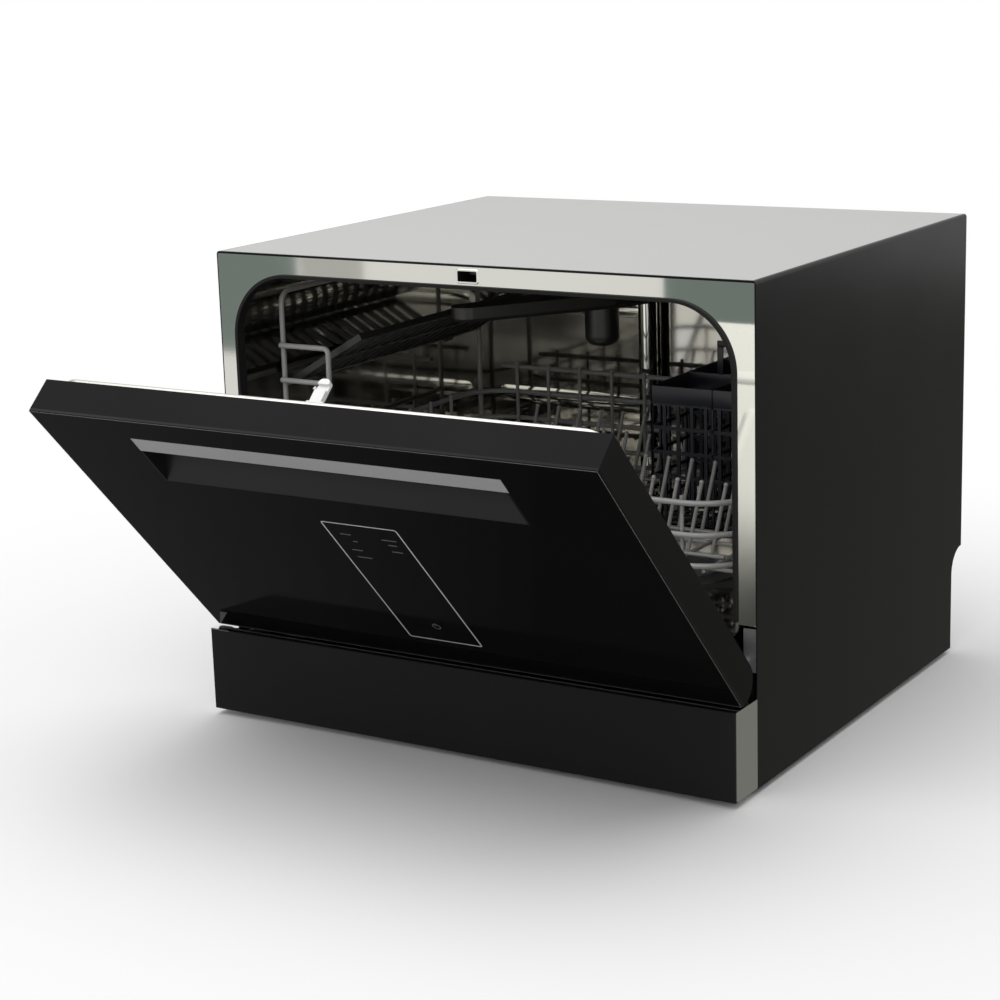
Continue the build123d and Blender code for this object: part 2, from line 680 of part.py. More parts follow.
def drain_pump():
    face = SUMP_Y - SUMP_R - SUMP_WALL
    back = face - DRAIN_VOLUTE
    pump = drum_y(DRAIN_R, back, face, SUMP_X, DRAIN_Z)
    pump += drum_y(DRAIN_MOTOR_R, back - DRAIN_MOTOR, back, SUMP_X, DRAIN_Z)
    middle = (face + back) / 2
    pump += drum_x(HOSE_BORE_R, SUMP_X, SUMP_X + DRAIN_R + HOSE_R, middle, DRAIN_Z)
    pump -= drum_y(DRAIN_R - SUMP_WALL, back + SUMP_WALL, face - SUMP_WALL, SUMP_X, DRAIN_Z)
    pump -= drum_y(HOSE_R - SUMP_WALL, middle, face + 1, SUMP_X, DRAIN_Z)
    pump -= drum_x(HOSE_BORE_R - SUMP_WALL, SUMP_X, SUMP_X + DRAIN_R + 2 * HOSE_R, middle, DRAIN_Z)
    return [pump - drum_y(SHAFT_R + RUN_GAP, back - DRAIN_MOTOR / 2, middle, SUMP_X, DRAIN_Z)]


def drain_impeller():
    face = SUMP_Y - SUMP_R - SUMP_WALL
    back = face - DRAIN_VOLUTE
    low = back + SUMP_WALL + SHEET
    wheel = drum_y(DRAIN_IMPELLER_R, low, low + 2 * SUMP_WALL, SUMP_X, DRAIN_Z)
    return [wheel + drum_y(SHAFT_R, back - DRAIN_MOTOR / 2 + SHEET, low + 3 * SUMP_WALL, SUMP_X, DRAIN_Z)]


def flow_heater():
    start = TUB_MID + VOLUTE_R / 2
    end = PUMP_Y - VOLUTE_R - HOSE_R
    sleeve = drum_y(HEATER_R, start, end, 0, PUMP_Z)
    return [sleeve - drum_y(HOSE_R + SEAT_GAP / 2, start - 1, end + 1, 0, PUMP_Z)]


def water_hoses():
    """Hoses in the base: sump to pump, pump to lower arm, drain, and the two thin inlet hoses."""
    half = VOLUTE_WIDTH / 2
    drain_y = SUMP_Y - SUMP_R - SUMP_WALL - DRAIN_VOLUTE / 2
    thin_x = -INSIDE + CHAMBER_THICK / 2
    valve_side = VALVE_X - THREAD_R - HOSE_R
    valve_y = TRAY_BACK - 1.5 * THREAD_R
    salt_side = SALT_X - SALT_SIZE / 2
    suction = bent([(SUMP_X, SUMP_Y + SUMP_R, PUMP_Z), (SUMP_X, PUMP_Y, PUMP_Z), (half, PUMP_Y, PUMP_Z)],
                   2 * HOSE_R, HOSE_R, HOSE_BORE_R)
    feed = bent([(0, PUMP_Y - VOLUTE_R, PUMP_Z), (0, TUB_MID, PUMP_Z), (0, TUB_MID, TUB_FLOOR - 3 * SHEET)],
                1.3 * HOSE_R, HOSE_R, HOSE_BORE_R)
    drain = bent([(SUMP_X + DRAIN_R, drain_y, DRAIN_Z), (DRAIN_OUT_X, drain_y, DRAIN_Z),
                  (DRAIN_OUT_X, TRAY_BACK - DRAIN_OUT_LONG, DRAIN_Z)], 2 * HOSE_R, HOSE_R, HOSE_BORE_R)
    salt_y = SALT_Y + SALT_SIZE / 4
    inlet = bent([(valve_side, valve_y, OUTLET_Z), (thin_x, valve_y, OUTLET_Z),
                  (thin_x, valve_y, CHAMBER_LOW)], 3 * THIN_HOSE_R, THIN_HOSE_R, THIN_BORE_R)
    softener = bent([(thin_x, salt_y, CHAMBER_LOW), (thin_x, salt_y, PUMP_Z),
                     (salt_side, salt_y, PUMP_Z)], 3 * THIN_HOSE_R, THIN_HOSE_R, THIN_BORE_R)
    return [suction, feed, drain, inlet, softener]


def salt_container():
    half = SALT_SIZE / 2
    top = TUB_FLOOR - SHEET
    tank = block(SALT_X - half, SALT_X + half, SALT_Y - half, SALT_Y + half, SALT_LOW, top - SALT_WALL)
    tank += drum_z(NECK_R + 3 * SALT_WALL, top - 2 * SALT_WALL, top, SALT_X, SALT_Y)
    tank += drum_z(NECK_R, top - SALT_WALL, TUB_FLOOR + NECK_PROUD, SALT_X, SALT_Y)
    room = half - SALT_WALL
    tank -= block(SALT_X - room, SALT_X + room, SALT_Y - room, SALT_Y + room, SALT_LOW + SALT_WALL,
                  top - 2 * SALT_WALL)
    return [tank - drum_z(NECK_R - NECK_WALL, SALT_LOW + half, TUB_FLOOR + 2 * NECK_PROUD, SALT_X, SALT_Y)]


def salt_cap():
    low = TUB_FLOOR + NECK_PROUD + RUN_GAP
    cap = drum_z(SALT_CAP_R, low, low + SALT_CAP_HIGH, SALT_X, SALT_Y)
    cap += drum_z(NECK_R - NECK_WALL - RUN_GAP, TUB_FLOOR, low, SALT_X, SALT_Y)
    groove = NECK_WALL / 2
    for side in (-1, 1):
        x = SALT_X + side * SALT_CAP_R / 2
        cap -= block(x - 2 * groove, x + 2 * groove, SALT_Y - SALT_CAP_R / 2, SALT_Y + SALT_CAP_R / 2,
                     low + SALT_CAP_HIGH - groove, low + SALT_CAP_HIGH + 1)
    return [cap]


def water_chamber():
    """Flat tank between the tub and the left side panel."""
    tank = block(-INSIDE, -INSIDE + CHAMBER_THICK, CHAMBER_FRONT, CHAMBER_BACK, CHAMBER_LOW, CHAMBER_HIGH)
    wall = 2 * SHEET
    return [tank - block(-INSIDE + wall, -INSIDE + CHAMBER_THICK - wall, CHAMBER_FRONT + wall,
                         CHAMBER_BACK - wall, CHAMBER_LOW + wall, CHAMBER_HIGH - wall)]


def inlet_valve():
    half = THREAD_R + HOSE_R
    low = TRAY_RIM + SHEET
    body = block(VALVE_X - half, VALVE_X + half, TRAY_BACK - 3 * THREAD_R, TRAY_BACK, low, COVE_Z - SHEET)
    body += drum_y(THREAD_R + COLLAR, TRAY_BACK - 1, TRAY_BACK + SHEET, VALVE_X, OUTLET_Z)
    body += drum_y(THREAD_R, TRAY_BACK - 1, TRAY_BACK + SHEET + THREAD_LONG, VALVE_X, OUTLET_Z)
    return [body - drum_y(THREAD_R / 2, TRAY_BACK - THREAD_R, TRAY_BACK + 2 * THREAD_LONG, VALVE_X, OUTLET_Z)]


def drain_spigot():
    low = TRAY_RIM + SHEET
    half = 2 * DRAIN_OUT_R
    face = TRAY_BACK - 4 * SHEET
    flange = block(DRAIN_OUT_X - half, DRAIN_OUT_X + half, face, TRAY_BACK, low, COVE_Z - SHEET)
    flange += drum_y(DRAIN_OUT_R + COLLAR, face, TRAY_BACK + SHEET, DRAIN_OUT_X, OUTLET_Z)
    spigot = drum_y(DRAIN_OUT_R, TRAY_BACK - 1, TRAY_BACK + SHEET + DRAIN_OUT_LONG, DRAIN_OUT_X, OUTLET_Z)
    inner = TRAY_BACK - DRAIN_OUT_LONG - HOSE_R
    spigot += drum_y(HOSE_BORE_R - SEAT_GAP / 2, inner, TRAY_BACK, DRAIN_OUT_X, OUTLET_Z)
    bore = drum_y(HOSE_BORE_R - SUMP_WALL, TRAY_BACK - 3 * DRAIN_OUT_LONG, DEPTH, DRAIN_OUT_X, OUTLET_Z)
    return [flange + spigot - bore]


def cord_gland():
    low = TRAY_BACK - 4 * SHEET
    gland = drum_y(GLAND_R, low, TRAY_BACK + 10 * SHEET, GLAND_X, OUTLET_Z)
    gland += drum_y(GLAND_R + 3 * SHEET, TRAY_BACK + SHEET, TRAY_BACK + 4 * SHEET, GLAND_X, OUTLET_Z)
    gland += drum_y(GLAND_R + 3 * SHEET, low, TRAY_BACK, GLAND_X, OUTLET_Z)
    return [gland - drum_y(GLAND_BORE_R, low - 1, DEPTH, GLAND_X, OUTLET_Z)]


def control_box():
    """Box of the power board, between the drain pump and a post of the tray."""
    x0 = SUMP_X + DRAIN_R + BOX_PUMP_GAP
    x1 = POST_X - POST / 2 - BOX_POST_GAP
    y0, y1 = BOX_Y - BOX_LONG / 2, BOX_Y + BOX_LONG / 2
    wall = 2 * SHEET
    top = TRAY_TOP + BOX_TALL
    box = block(x0, x1, y0, y1, TRAY_TOP, top)
    return [box - block(x0 + wall, x1 - wall, y0 + wall, y1 - wall, TRAY_TOP + wall, top - wall)]


def float_ring():
    low = TRAY_TOP + RUN_GAP
    ring = drum_z(FLOAT_R, low, low + FLOAT_HIGH, FLOAT_X, FLOAT_Y)
    return [ring - drum_z(FLOAT_PIN_R + RUN_GAP, 0, TRAY_RIM, FLOAT_X, FLOAT_Y)]


def latch_housing():
    """Box behind the slot in the frame that holds the catch."""
    low = TUB_TOP + SHEET
    box = block(-LATCH_HALF, LATCH_HALF, SHEET, SHEET + LATCH_LONG, low, FRAME_TOP)
    box -= block(-LATCH_CAVITY, LATCH_CAVITY, 0, LATCH_LONG - SHEET, low + SHEET, FRAME_TOP - SHEET)
    return [box - drum_x(SHEET + 2 * RUN_GAP, -HALF, HALF, CATCH_PIVOT_Y, CATCH_PIVOT_Z)]


def latch_catch():
    """Sprung lever whose tooth drops into the notch of the striker."""
    half = LATCH_CAVITY / 2
    axle = LATCH_HALF - SHEET
    near = CATCH_TOOTH_Y - SHEET
    under = STRIKER_LOW + STRIKER_THICK + 2 * RUN_GAP
    lever = block(-half, half, near, CATCH_PIVOT_Y, under, CATCH_PIVOT_Z + SHEET)
    lever += block(-half, half, near, near + 2 * SHEET, under - 5 * RUN_GAP, under + SHEET)
    return [lever + drum_x(SHEET + RUN_GAP, -axle, axle, CATCH_PIVOT_Y, CATCH_PIVOT_Z)]


def hinge_brackets():
    """Steel legs on the base tray that carry the door pins in front of the cabinet."""
    reach = HEEL_R / 2
    leg = 2 * TRAY_WALL
    side = rect(HINGE_Y, leg + POST, HINGE_Z - reach, HINGE_Z + reach)
    side += rect(leg, leg + POST, TRAY_TOP, HINGE_Z)
    side += Pos(HINGE_Y, HINGE_Z) * Circle(reach)
    side -= Pos(HINGE_Y, HINGE_Z) * Circle(PIN_R + SEAT_GAP / 4)
    inner = BRACKET_X - BRACKET_THICK / 2
    plate = across(side, inner, inner + BRACKET_THICK)
    plate += block(inner, HALF - SHEET - RUN_GAP, leg, leg + DOOR_WALL, HINGE_Z, COLUMN_END - BRACKET_THICK)
    return pair(plate)


def hinge_pins():
    inner = BRACKET_X - 1.5 * BRACKET_THICK
    return pair(drum_x(PIN_R, inner, HALF - DOOR_WALL - SHEET / 2, HINGE_Y, HINGE_Z))


def friction_discs():
    """Discs that are pinched between the bracket and the door arm, so the door stays where it is put."""
    outer = BRACKET_X + BRACKET_THICK / 2
    disc = drum_x(2 * PIN_R, outer, ARM_IN - RUN_GAP, HINGE_Y, HINGE_Z)
    return pair(disc - drum_x(PIN_R + SEAT_GAP / 4, outer - 1, ARM_IN + 1, HINGE_Y, HINGE_Z))


def door_side():
    """The door seen from the side: flat, with its heel rounded about the hinge."""
    heel = Pos(HINGE_Y, HINGE_Z) * Circle(HEEL_R) & rect(DOOR_OUT, DOOR_IN, HINGE_Z - HEEL_R, HINGE_Z)
    return rect(DOOR_OUT, DOOR_IN, HINGE_Z, DOOR_TOP) + heel + rect(DOOR_OUT, HINGE_Y, GLASS_LOW, HINGE_Z)


def door_frame():
    inner = HALF - DOOR_WALL
    side = door_side() - rect(DOOR_OUT - 1, GLASS_IN, GLASS_LOW, DOOR_TOP + 1)
    hollow = Pos(HINGE_Y, HINGE_Z) * Circle(HEEL_R - DOOR_WALL)
    room = rect(GLASS_IN + DOOR_WALL, DOOR_IN - DOOR_WALL, HINGE_Z, DOOR_TOP - DOOR_WALL) + hollow
    room += rect(GLASS_IN + DOOR_WALL, HINGE_Y, GLASS_LOW + DOOR_WALL, HINGE_Z)
    frame = across(side, -HALF, HALF) - across(room, -inner, inner)
    window = inner - LINER_SIDE
    frame -= block(-window, window, GLASS_IN - 1, GLASS_IN + 2 * DOOR_WALL, HINGE_Z, DOOR_TOP - DOOR_WALL)
    frame -= block(-window, window, DOOR_IN - 2 * DOOR_WALL, DOOR_IN + 1, LINER_LOW + DOOR_WALL,
                   LINER_TOP - LINER_SIDE)
    slot = HEEL_R / 2 + 2 * SHEET
    near = BRACKET_X - BRACKET_THICK - SHEET
    far = BRACKET_X + BRACKET_THICK + SHEET
    cut = block(near, far, HINGE_Y - slot, DOOR_IN + 1, HINGE_Z - HEEL_R - 1, HINGE_Z + slot)
    frame -= cut
    frame -= mirrored(cut)
    return [frame]


def door_outer_panel():
    """The gloss front, with the window for the handle."""
    panel = block(-HALF, HALF, DOOR_OUT, GLASS_IN, GLASS_LOW, DOOR_TOP)
    panel = chamfer(panel.faces().sort_by(Axis.Y)[0].edges(), DOOR_GLASS / 4)
    return [panel - block(-HANDLE_HALF, HANDLE_HALF, DOOR_OUT - 1, GLASS_IN + 1, HANDLE_LOW, HANDLE_HIGH)]


def dispenser_window():
    half_w = DISP_WIDTH / 2 - DISP_RIM
    half_h = DISP_HEIGHT / 2 - DISP_RIM
    return half_w, half_h


def door_inner_liner():
    tall = LINER_TOP - LINER_LOW
    place = Pos(0, (LINER_TOP + LINER_LOW) / 2)
    liner = along(place * RectangleRounded(2 * LINER_HALF, tall, LINER_R), DOOR_IN, LINER_FACE)
    liner = fillet(liner.faces().sort_by(Axis.Y)[-1].edges(), 2 * SHEET)
    room = RectangleRounded(2 * (LINER_HALF - SHEET), tall - 2 * SHEET, LINER_R - SHEET)
    liner -= along(place * room, DOOR_IN - 1, LINER_FACE - SHEET)
    w, h = dispenser_window()
    return [liner - block(-w - SEAT_GAP, w + SEAT_GAP, DOOR_IN, LINER_FACE + 1, DISP_Z - h - SEAT_GAP,
                          DISP_Z + h + SEAT_GAP)]


def handle_strip():
    half = HANDLE_HALF - SEAT_GAP
    strip = block(-half, half, DOOR_OUT, DOOR_OUT + STRIP_DEPTH, STRIP_LOW, HANDLE_HIGH - SEAT_GAP)
    return [chamfer(strip.faces().sort_by(Axis.Y)[0].edges(), SHEET / 2)]


def handle_pocket():
    """Scoop for the fingers: it starts flush at its lower edge and runs up behind the strip."""
    back = DOOR_OUT + SCOOP_DEPTH
    low = HANDLE_LOW + SEAT_GAP
    rim = 2 * DOOR_WALL
    shell = make_face(Polyline(
        (GLASS_IN, low - rim), (GLASS_IN + rim, low - rim), (back + DOOR_WALL, STRIP_LOW - HEEL_R),
        (back + DOOR_WALL, HANDLE_HIGH + rim), (GLASS_IN, HANDLE_HIGH + rim), close=True))
    body = across(shell, -HANDLE_HALF - rim, HANDLE_HALF + rim)
    half = HANDLE_HALF - SEAT_GAP
    body += block(-half, half, DOOR_OUT, GLASS_IN, low, STRIP_LOW - SEAT_GAP)
    middle = ((DOOR_OUT + back) / 2 + DOOR_WALL, (low + STRIP_LOW) / 2 - DOOR_WALL)
    scoop = ThreePointArc((DOOR_OUT, low + SHEET), middle, (back, STRIP_LOW))
    rest = Polyline((back, STRIP_LOW), (back, HANDLE_HIGH - SEAT_GAP), (DOOR_OUT - 1, HANDLE_HIGH - SEAT_GAP),
                    (DOOR_OUT - 1, low + SHEET), (DOOR_OUT, low + SHEET))
    body -= across(make_face(scoop + rest), -half + DOOR_WALL, half - DOOR_WALL)
    seat = DOOR_OUT + STRIP_DEPTH + SEAT_GAP
    low, high = STRIP_LOW - SEAT_GAP, HANDLE_HIGH + SEAT_GAP
    return [body - block(-half - 1, half + 1, DOOR_OUT - 1, seat, low, high)]


def control_board():
    """Touch board bonded to the back of the front panel."""
    half = CONTROL_WIDTH / 2
    back = GLASS_IN + BOARD_THICK
    board = block(-half, half, GLASS_IN, back, CONTROL_LOW, CONTROL_HIGH)
    middle = (CONTROL_LOW + CONTROL_HIGH) / 2
    board += block(-half / 2, half / 2, back, back + 4 * BOARD_THICK, middle - half / 3, middle + half / 3)
    chip = half / 3
    return [board + block(-chip, chip, back, back + 3 * BOARD_THICK, middle + half, middle + 1.4 * half)]


def dispenser_body():
    w, h = dispenser_window()
    front = LINER_FACE + 2.5 * SHEET
    body = block(-DISP_WIDTH / 2, DISP_WIDTH / 2, LINER_FACE, front, DISP_Z - DISP_HEIGHT / 2,
                 DISP_Z + DISP_HEIGHT / 2)
    body += block(-w, w, LINER_FACE - DISP_DEPTH, LINER_FACE, DISP_Z - h, DISP_Z + h)
    cup = block(CUP_X - CUP_WIDTH / 2, CUP_X + CUP_WIDTH / 2, front - CUP_DEPTH, front + 1,
                DISP_Z - CUP_HEIGHT / 2, DISP_Z + CUP_HEIGHT / 2)
    body -= fillet(cup.faces().sort_by(Axis.Y)[0].edges(), DISP_RIM)
    catch_z = DISP_Z + CUP_HEIGHT / 2 + CATCH_HEIGHT
    half = CATCH_WIDTH / 2 + RUN_GAP
    tall = CATCH_HEIGHT / 2 + RUN_GAP
    deep = front - 2 * CATCH_HEIGHT - CATCH_TRAVEL
    body -= block(CUP_X - half, CUP_X + half, deep, front + 1, catch_z - tall, catch_z + tall)
    return [body - drum_y(CAP_R / 2 + RUN_GAP, front - CUP_DEPTH / 2, front + 1, CAP_X, DISP_Z)]


def dispenser_lid():
    """Flap over the detergent cup, hinged along its lower edge."""
    front = LINER_FACE + 2.5 * SHEET + RUN_GAP
    low = DISP_Z - CUP_HEIGHT / 2 - LID_THICK
    high = DISP_Z + CUP_HEIGHT / 2 + LID_THICK
    half = CUP_WIDTH / 2 + LID_THICK
    lid = block(CUP_X - half, CUP_X + half, front, front + LID_THICK, low, high)
    lid = fillet(lid.edges().filter_by(Axis.Y), 2 * LID_THICK)
    x0, x1 = CUP_X - half / 2, CUP_X + half / 2
    lid += block(x0, x1, front, front + LID_THICK, low - LID_THICK, low + LID_THICK)
    return [lid + drum_x(LID_THICK / 2, x0, x1, front + LID_THICK / 2, low - LID_THICK)]


def dispenser_catch():
    front = LINER_FACE + 2.5 * SHEET
    catch_z = DISP_Z + CUP_HEIGHT / 2 + CATCH_HEIGHT
    half = CATCH_WIDTH / 2
    return [block(CUP_X - half, CUP_X + half, front - 2 * CATCH_HEIGHT, front + CATCH_TRAVEL,
                  catch_z - CATCH_HEIGHT / 2, catch_z + CATCH_HEIGHT / 2)]


def rinse_aid_cap():
    front = LINER_FACE + 2.5 * SHEET + RUN_GAP
    cap = drum_y(CAP_R, front, front + CAP_HIGH / 2, CAP_X, DISP_Z)
    cap += block(CAP_X - SHEET * 2, CAP_X + SHEET * 2, front, front + CAP_HIGH, DISP_Z - CAP_R + SHEET,
                 DISP_Z + CAP_R - SHEET)
    return [cap + drum_y(CAP_R / 2, front - CUP_DEPTH / 3, front, CAP_X, DISP_Z)]


def latch_striker():
    """Tongue on the door that enters the slot, with a barb on its left side."""
    half = STRIKER_HALF
    top = STRIKER_LOW + STRIKER_THICK
    nose = block(-half, half, LINER_FACE, STRIKER_REACH, STRIKER_LOW, top)
    nose = fillet(nose.faces().sort_by(Axis.Y)[-1].edges().filter_by(Axis.Z), 0.8 * half)
    heel = STRIKER_REACH - half - BARB_LONG
    barb = Polyline((0, heel), (-half - BARB_WIDTH, heel + BARB_WIDTH), (-half, heel + BARB_LONG),
                    (0, heel + BARB_LONG), close=True)
    nose += Pos(0, 0, STRIKER_LOW) * extrude(make_face(barb), STRIKER_THICK)
    low = TUB_TOP + 2 * RUN_GAP
    base = block(-1.5 * half, 1.5 * half, LINER_FACE, LINER_FACE + 2 * SHEET, low, top)
    near, far = CATCH_TOOTH_Y - 3 * SHEET, CATCH_TOOTH_Y + 3 * SHEET
    return [nose + base - block(-half - 1, half + 1, near, far, top - 2.5 * SHEET, top + 1)]


def hinge_arms():
    """Steel arms inside the door that turn on the pins."""
    wide = HINGE_Y - GLASS_IN - SHEET
    side = Pos(HINGE_Y, HINGE_Z) * Circle(wide)
    side += rect(HINGE_Y - PIN_R, HINGE_Y + wide, HINGE_Z, ARM_TOP)
    side -= Pos(HINGE_Y, HINGE_Z) * Circle(PIN_R + RUN_GAP)
    return pair(across(side, ARM_IN, HALF - DOOR_WALL))


def bent_lengths(points, bend, d):
    """A bent wire as straight lengths and bends that meet face to face."""
    corners = [Vector(*point) for point in points]
    lengths = []
    start = corners[0]
    for before, corner, after in zip(corners, corners[1:], corners[2:]):
        ahead = (after - corner).normalized()
        behind = (before - corner).normalized()
        into = corner + behind * bend
        out = corner + ahead * bend
        middle = corner + (ahead + behind) * (bend * (1 - 0.5 ** 0.5))
        arc = ThreePointArc(into, middle, out)
        lengths.append(rod(start, into, d))
        lengths.append(sweep(Plane(origin=into, z_dir=-behind) * Circle(d / 2), path=arc))
        start = out
    return lengths + [rod(start, corners[-1], d)]


def rack_rim(level):
    """A rim round the rack, joined in the middle of its front."""
    x, y0, y1 = RACK_HALF, RACK_FRONT, RACK_BACK
    corners = [(0, y0), (x, y0), (x, y1), (-x, y1), (-x, y0), (0, y0)]
    return bent_lengths([(*corner, level) for corner in corners], RACK_R, RIM_D)


def spread(start, end, step):
    """Even places from start to end, about a step apart."""
    count = max(1, round((end - start) / step))
    return [start + (end - start) * i / count for i in range(count + 1)]


def floor_rows():
    """Places from front to rear of the wires that run across the rack floor."""
    inset = RIM_D / 2 + WIRE_D / 2 + WELD_GAP + RACK_R / 2
    return spread(RACK_FRONT + inset, RACK_BACK - inset, FLOOR_STEP)


def rack_frame():
    """The welded wire rack: rims, floor, uprights and the left fence that carries the cup shelf."""
    wires = []
    for level in RIM_LEVELS:
        wires += rack_rim(level)
    reach = RIM_D / 2 + WIRE_D / 2 + WELD_GAP
    floor_half = RACK_HALF - reach
    floor_y = RACK_FRONT + reach
    floor_back = RACK_BACK - reach
    upper = RACK_FLOOR + WIRE_D + WELD_GAP
    ends = floor_half - RACK_R / 2
    for y in floor_rows():
        wires.append(rod((-floor_half, y, RACK_FLOOR), (floor_half, y, RACK_FLOOR), WIRE_D))
    for x in spread(-ends, ends, FLOOR_STEP):
        wires.append(rod((x, floor_y, upper), (x, floor_back, upper), WIRE_D))
    for x in spread(-ends + FLOOR_STEP / 2, ends - FLOOR_STEP / 2, FLOOR_STEP):
        wires.append(rod((x, floor_y, RACK_FLOOR), (x, floor_y, RIM_LEVELS[-1] + RIM_D), WIRE_D))
        wires.append(rod((x, floor_back, RACK_FLOOR), (x, floor_back, BACK_RIM + RIM_D), WIRE_D))
    for y in spread(floor_y + RACK_R + FLOOR_STEP / 2, floor_back - RACK_R - FLOOR_STEP / 2, FLOOR_STEP):
        for side in (-1, 1):
            x = side * floor_half
            wires.append(rod((x, y, RACK_FLOOR + reach), (x, y, RIM_LEVELS[-1] + RIM_D), WIRE_D))
    wires.append(rod((-ends, RACK_BACK, BACK_RIM), (ends, RACK_BACK, BACK_RIM), RIM_D))
    return wires + fence() + wheel_brackets() + plate_tines()


def fence():
    """Tall wire frame on the left of the rack: a loop in front, and the rail on which the cup shelf folds."""
    outside = RACK_R + RIM_D + WELD_GAP
    aside = FENCE_X - RACK_HALF + RACK_R
    inset = RACK_R - (outside ** 2 - aside ** 2) ** 0.5
    front = RACK_FRONT + inset
    back = RACK_BACK - inset
    low = RIM_LEVELS[0]
    x = -FENCE_X
    arch = [(x, front, low), (x, front, FENCE_TOP), (x, back, FENCE_TOP), (x, back, low)]
    gap = RIM_D / 2 + WELD_GAP
    rail = rod((x, front + gap, SHELF_RAIL_Z), (x, back - gap, SHELF_RAIL_Z), RIM_D)
    loop_y = front - (RIM_D + LOOP_D) / 2 - WELD_GAP
    loop_low = SHELF_RAIL_Z + LOOP_RISE - LOOP_HIGH / 2
    loop_high = loop_low + LOOP_HIGH
    loop = [(x, loop_y, loop_high), (x + LOOP_WIDE, loop_y, loop_high), (x + LOOP_WIDE, loop_y, loop_low),
            (x, loop_y, loop_low)]
    return bent_lengths(arch, FENCE_R, RIM_D) + [rail] + bent_lengths(loop, LOOP_D, LOOP_D)


def wheel_rows():
    """The wheels hang under the second wire of the rack floor and the last but one."""
    rows = floor_rows()
    return rows[1], rows[-2]


def wheel_brackets():
    """Clips under the rack floor with the stub axles of the wheels."""
    inner = WHEEL_X - WHEEL_WIDTH / 2 - RUN_GAP
    outer = WHEEL_X + WHEEL_WIDTH / 2 + RUN_GAP
    top = RACK_FLOOR - WIRE_D / 2
    clips = []
    for y in wheel_rows():
        clip = block(inner - 2 * AXLE_R, inner, y - 3 * AXLE_R, y + 3 * AXLE_R, WHEEL_Z - 2 * AXLE_R, top)
        clip += drum_x(AXLE_R, inner, outer + AXLE_R / 2, y, WHEEL_Z)
        clip += drum_x(2 * AXLE_R, outer, outer + AXLE_R / 2, y, WHEEL_Z)
        clips += pair(clip)
    return clips


def rack_wheels(y):
    tyre = drum_x(WHEEL_R, WHEEL_X - WHEEL_WIDTH / 2, WHEEL_X + WHEEL_WIDTH / 2, y, WHEEL_Z)
    tyre = fillet(tyre.edges(), SHEET)
    return pair(tyre - drum_x(AXLE_R + RUN_GAP, 0, HALF, y, WHEEL_Z))


def front_wheels():
    return rack_wheels(wheel_rows()[0])


def rear_wheels():
    return rack_wheels(wheel_rows()[1])


def plate_tines():
    """Rows of leaning wires between which plates stand."""
    foot = FLOOR_TOP + WELD_GAP
    lean = (TINE_TOP - foot) * sin(radians(TINE_LEAN))
    left = 2.5 * RACK_R - RACK_HALF
    right = RACK_HALF - RACK_R / 2 - lean
    basket_left = BASKET_X - BASKET_WIDTH / 2 - TINE_STEP / 2 - lean
    spine = foot + TINE_D / 2
    root = foot + TINE_D + WELD_GAP + TINE_D / 2 * sin(radians(TINE_LEAN))
    tines = []
    for row in TINE_ROWS:
        y = RACK_FRONT + row
        end = right if y < BASKET_Y - BASKET_LONG / 2 else basket_left
        tines.append(rod((left - TINE_STEP / 2, y, spine), (end + TINE_STEP / 2, y, spine), TINE_D))
        for x in spread(left, end, TINE_STEP):
            tip = (x + lean, y, TINE_TOP)
            tines.append(rod((x, y, root), tip, TINE_D) + Pos(*tip) * Sphere(TINE_TIP_R))
    return tines


def cup_shelf():
    """Ribbed shelf that folds about the rail of the fence and stands tilted up."""
    x0 = -FENCE_X + RIM_D / 2 + 2 * RUN_GAP
    x1 = x0 + SHELF_WIDTH
    low = SHELF_RAIL_Z - SHELF_THICK / 2
    high = SHELF_RAIL_Z + SHELF_THICK / 2
    shelf = block(x0, x1, SHELF_FRONT, SHELF_BACK, low, high)
    near, far = SHELF_FRONT + SHELF_BAR, SHELF_BACK - SHELF_BAR
    shelf -= block(x0 + SHELF_BAR, x1 - SHELF_BAR, near, far, low - 1, high + 1)
    for y in spread(near, far, (far - near) / SHELF_RIBS)[1:-1]:
        shelf += block(x0, x1, y - SHELF_BAR / 4, y + SHELF_BAR / 4, low, high)
    middle = (x0 + x1) / 2
    shelf += block(middle - SHELF_BAR / 2, middle + SHELF_BAR / 2, SHELF_FRONT, SHELF_BACK, low, high)
    for y in (SHELF_FRONT + SHELF_WIDTH / 2, SHELF_BACK - SHELF_WIDTH / 2):
        clip = drum_y(RIM_D, y - SHELF_BAR, y + SHELF_BAR, -FENCE_X, SHELF_RAIL_Z)
        shelf += clip
        shelf -= drum_y(RIM_D / 2 + RUN_GAP, y - 2 * SHELF_BAR, y + 2 * SHELF_BAR, -FENCE_X, SHELF_RAIL_Z)
    tilt = Pos(-FENCE_X, 0, SHELF_RAIL_Z) * Rot(0, -SHELF_TILT, 0) * Pos(FENCE_X, 0, -SHELF_RAIL_Z)
    return [tilt * shelf]


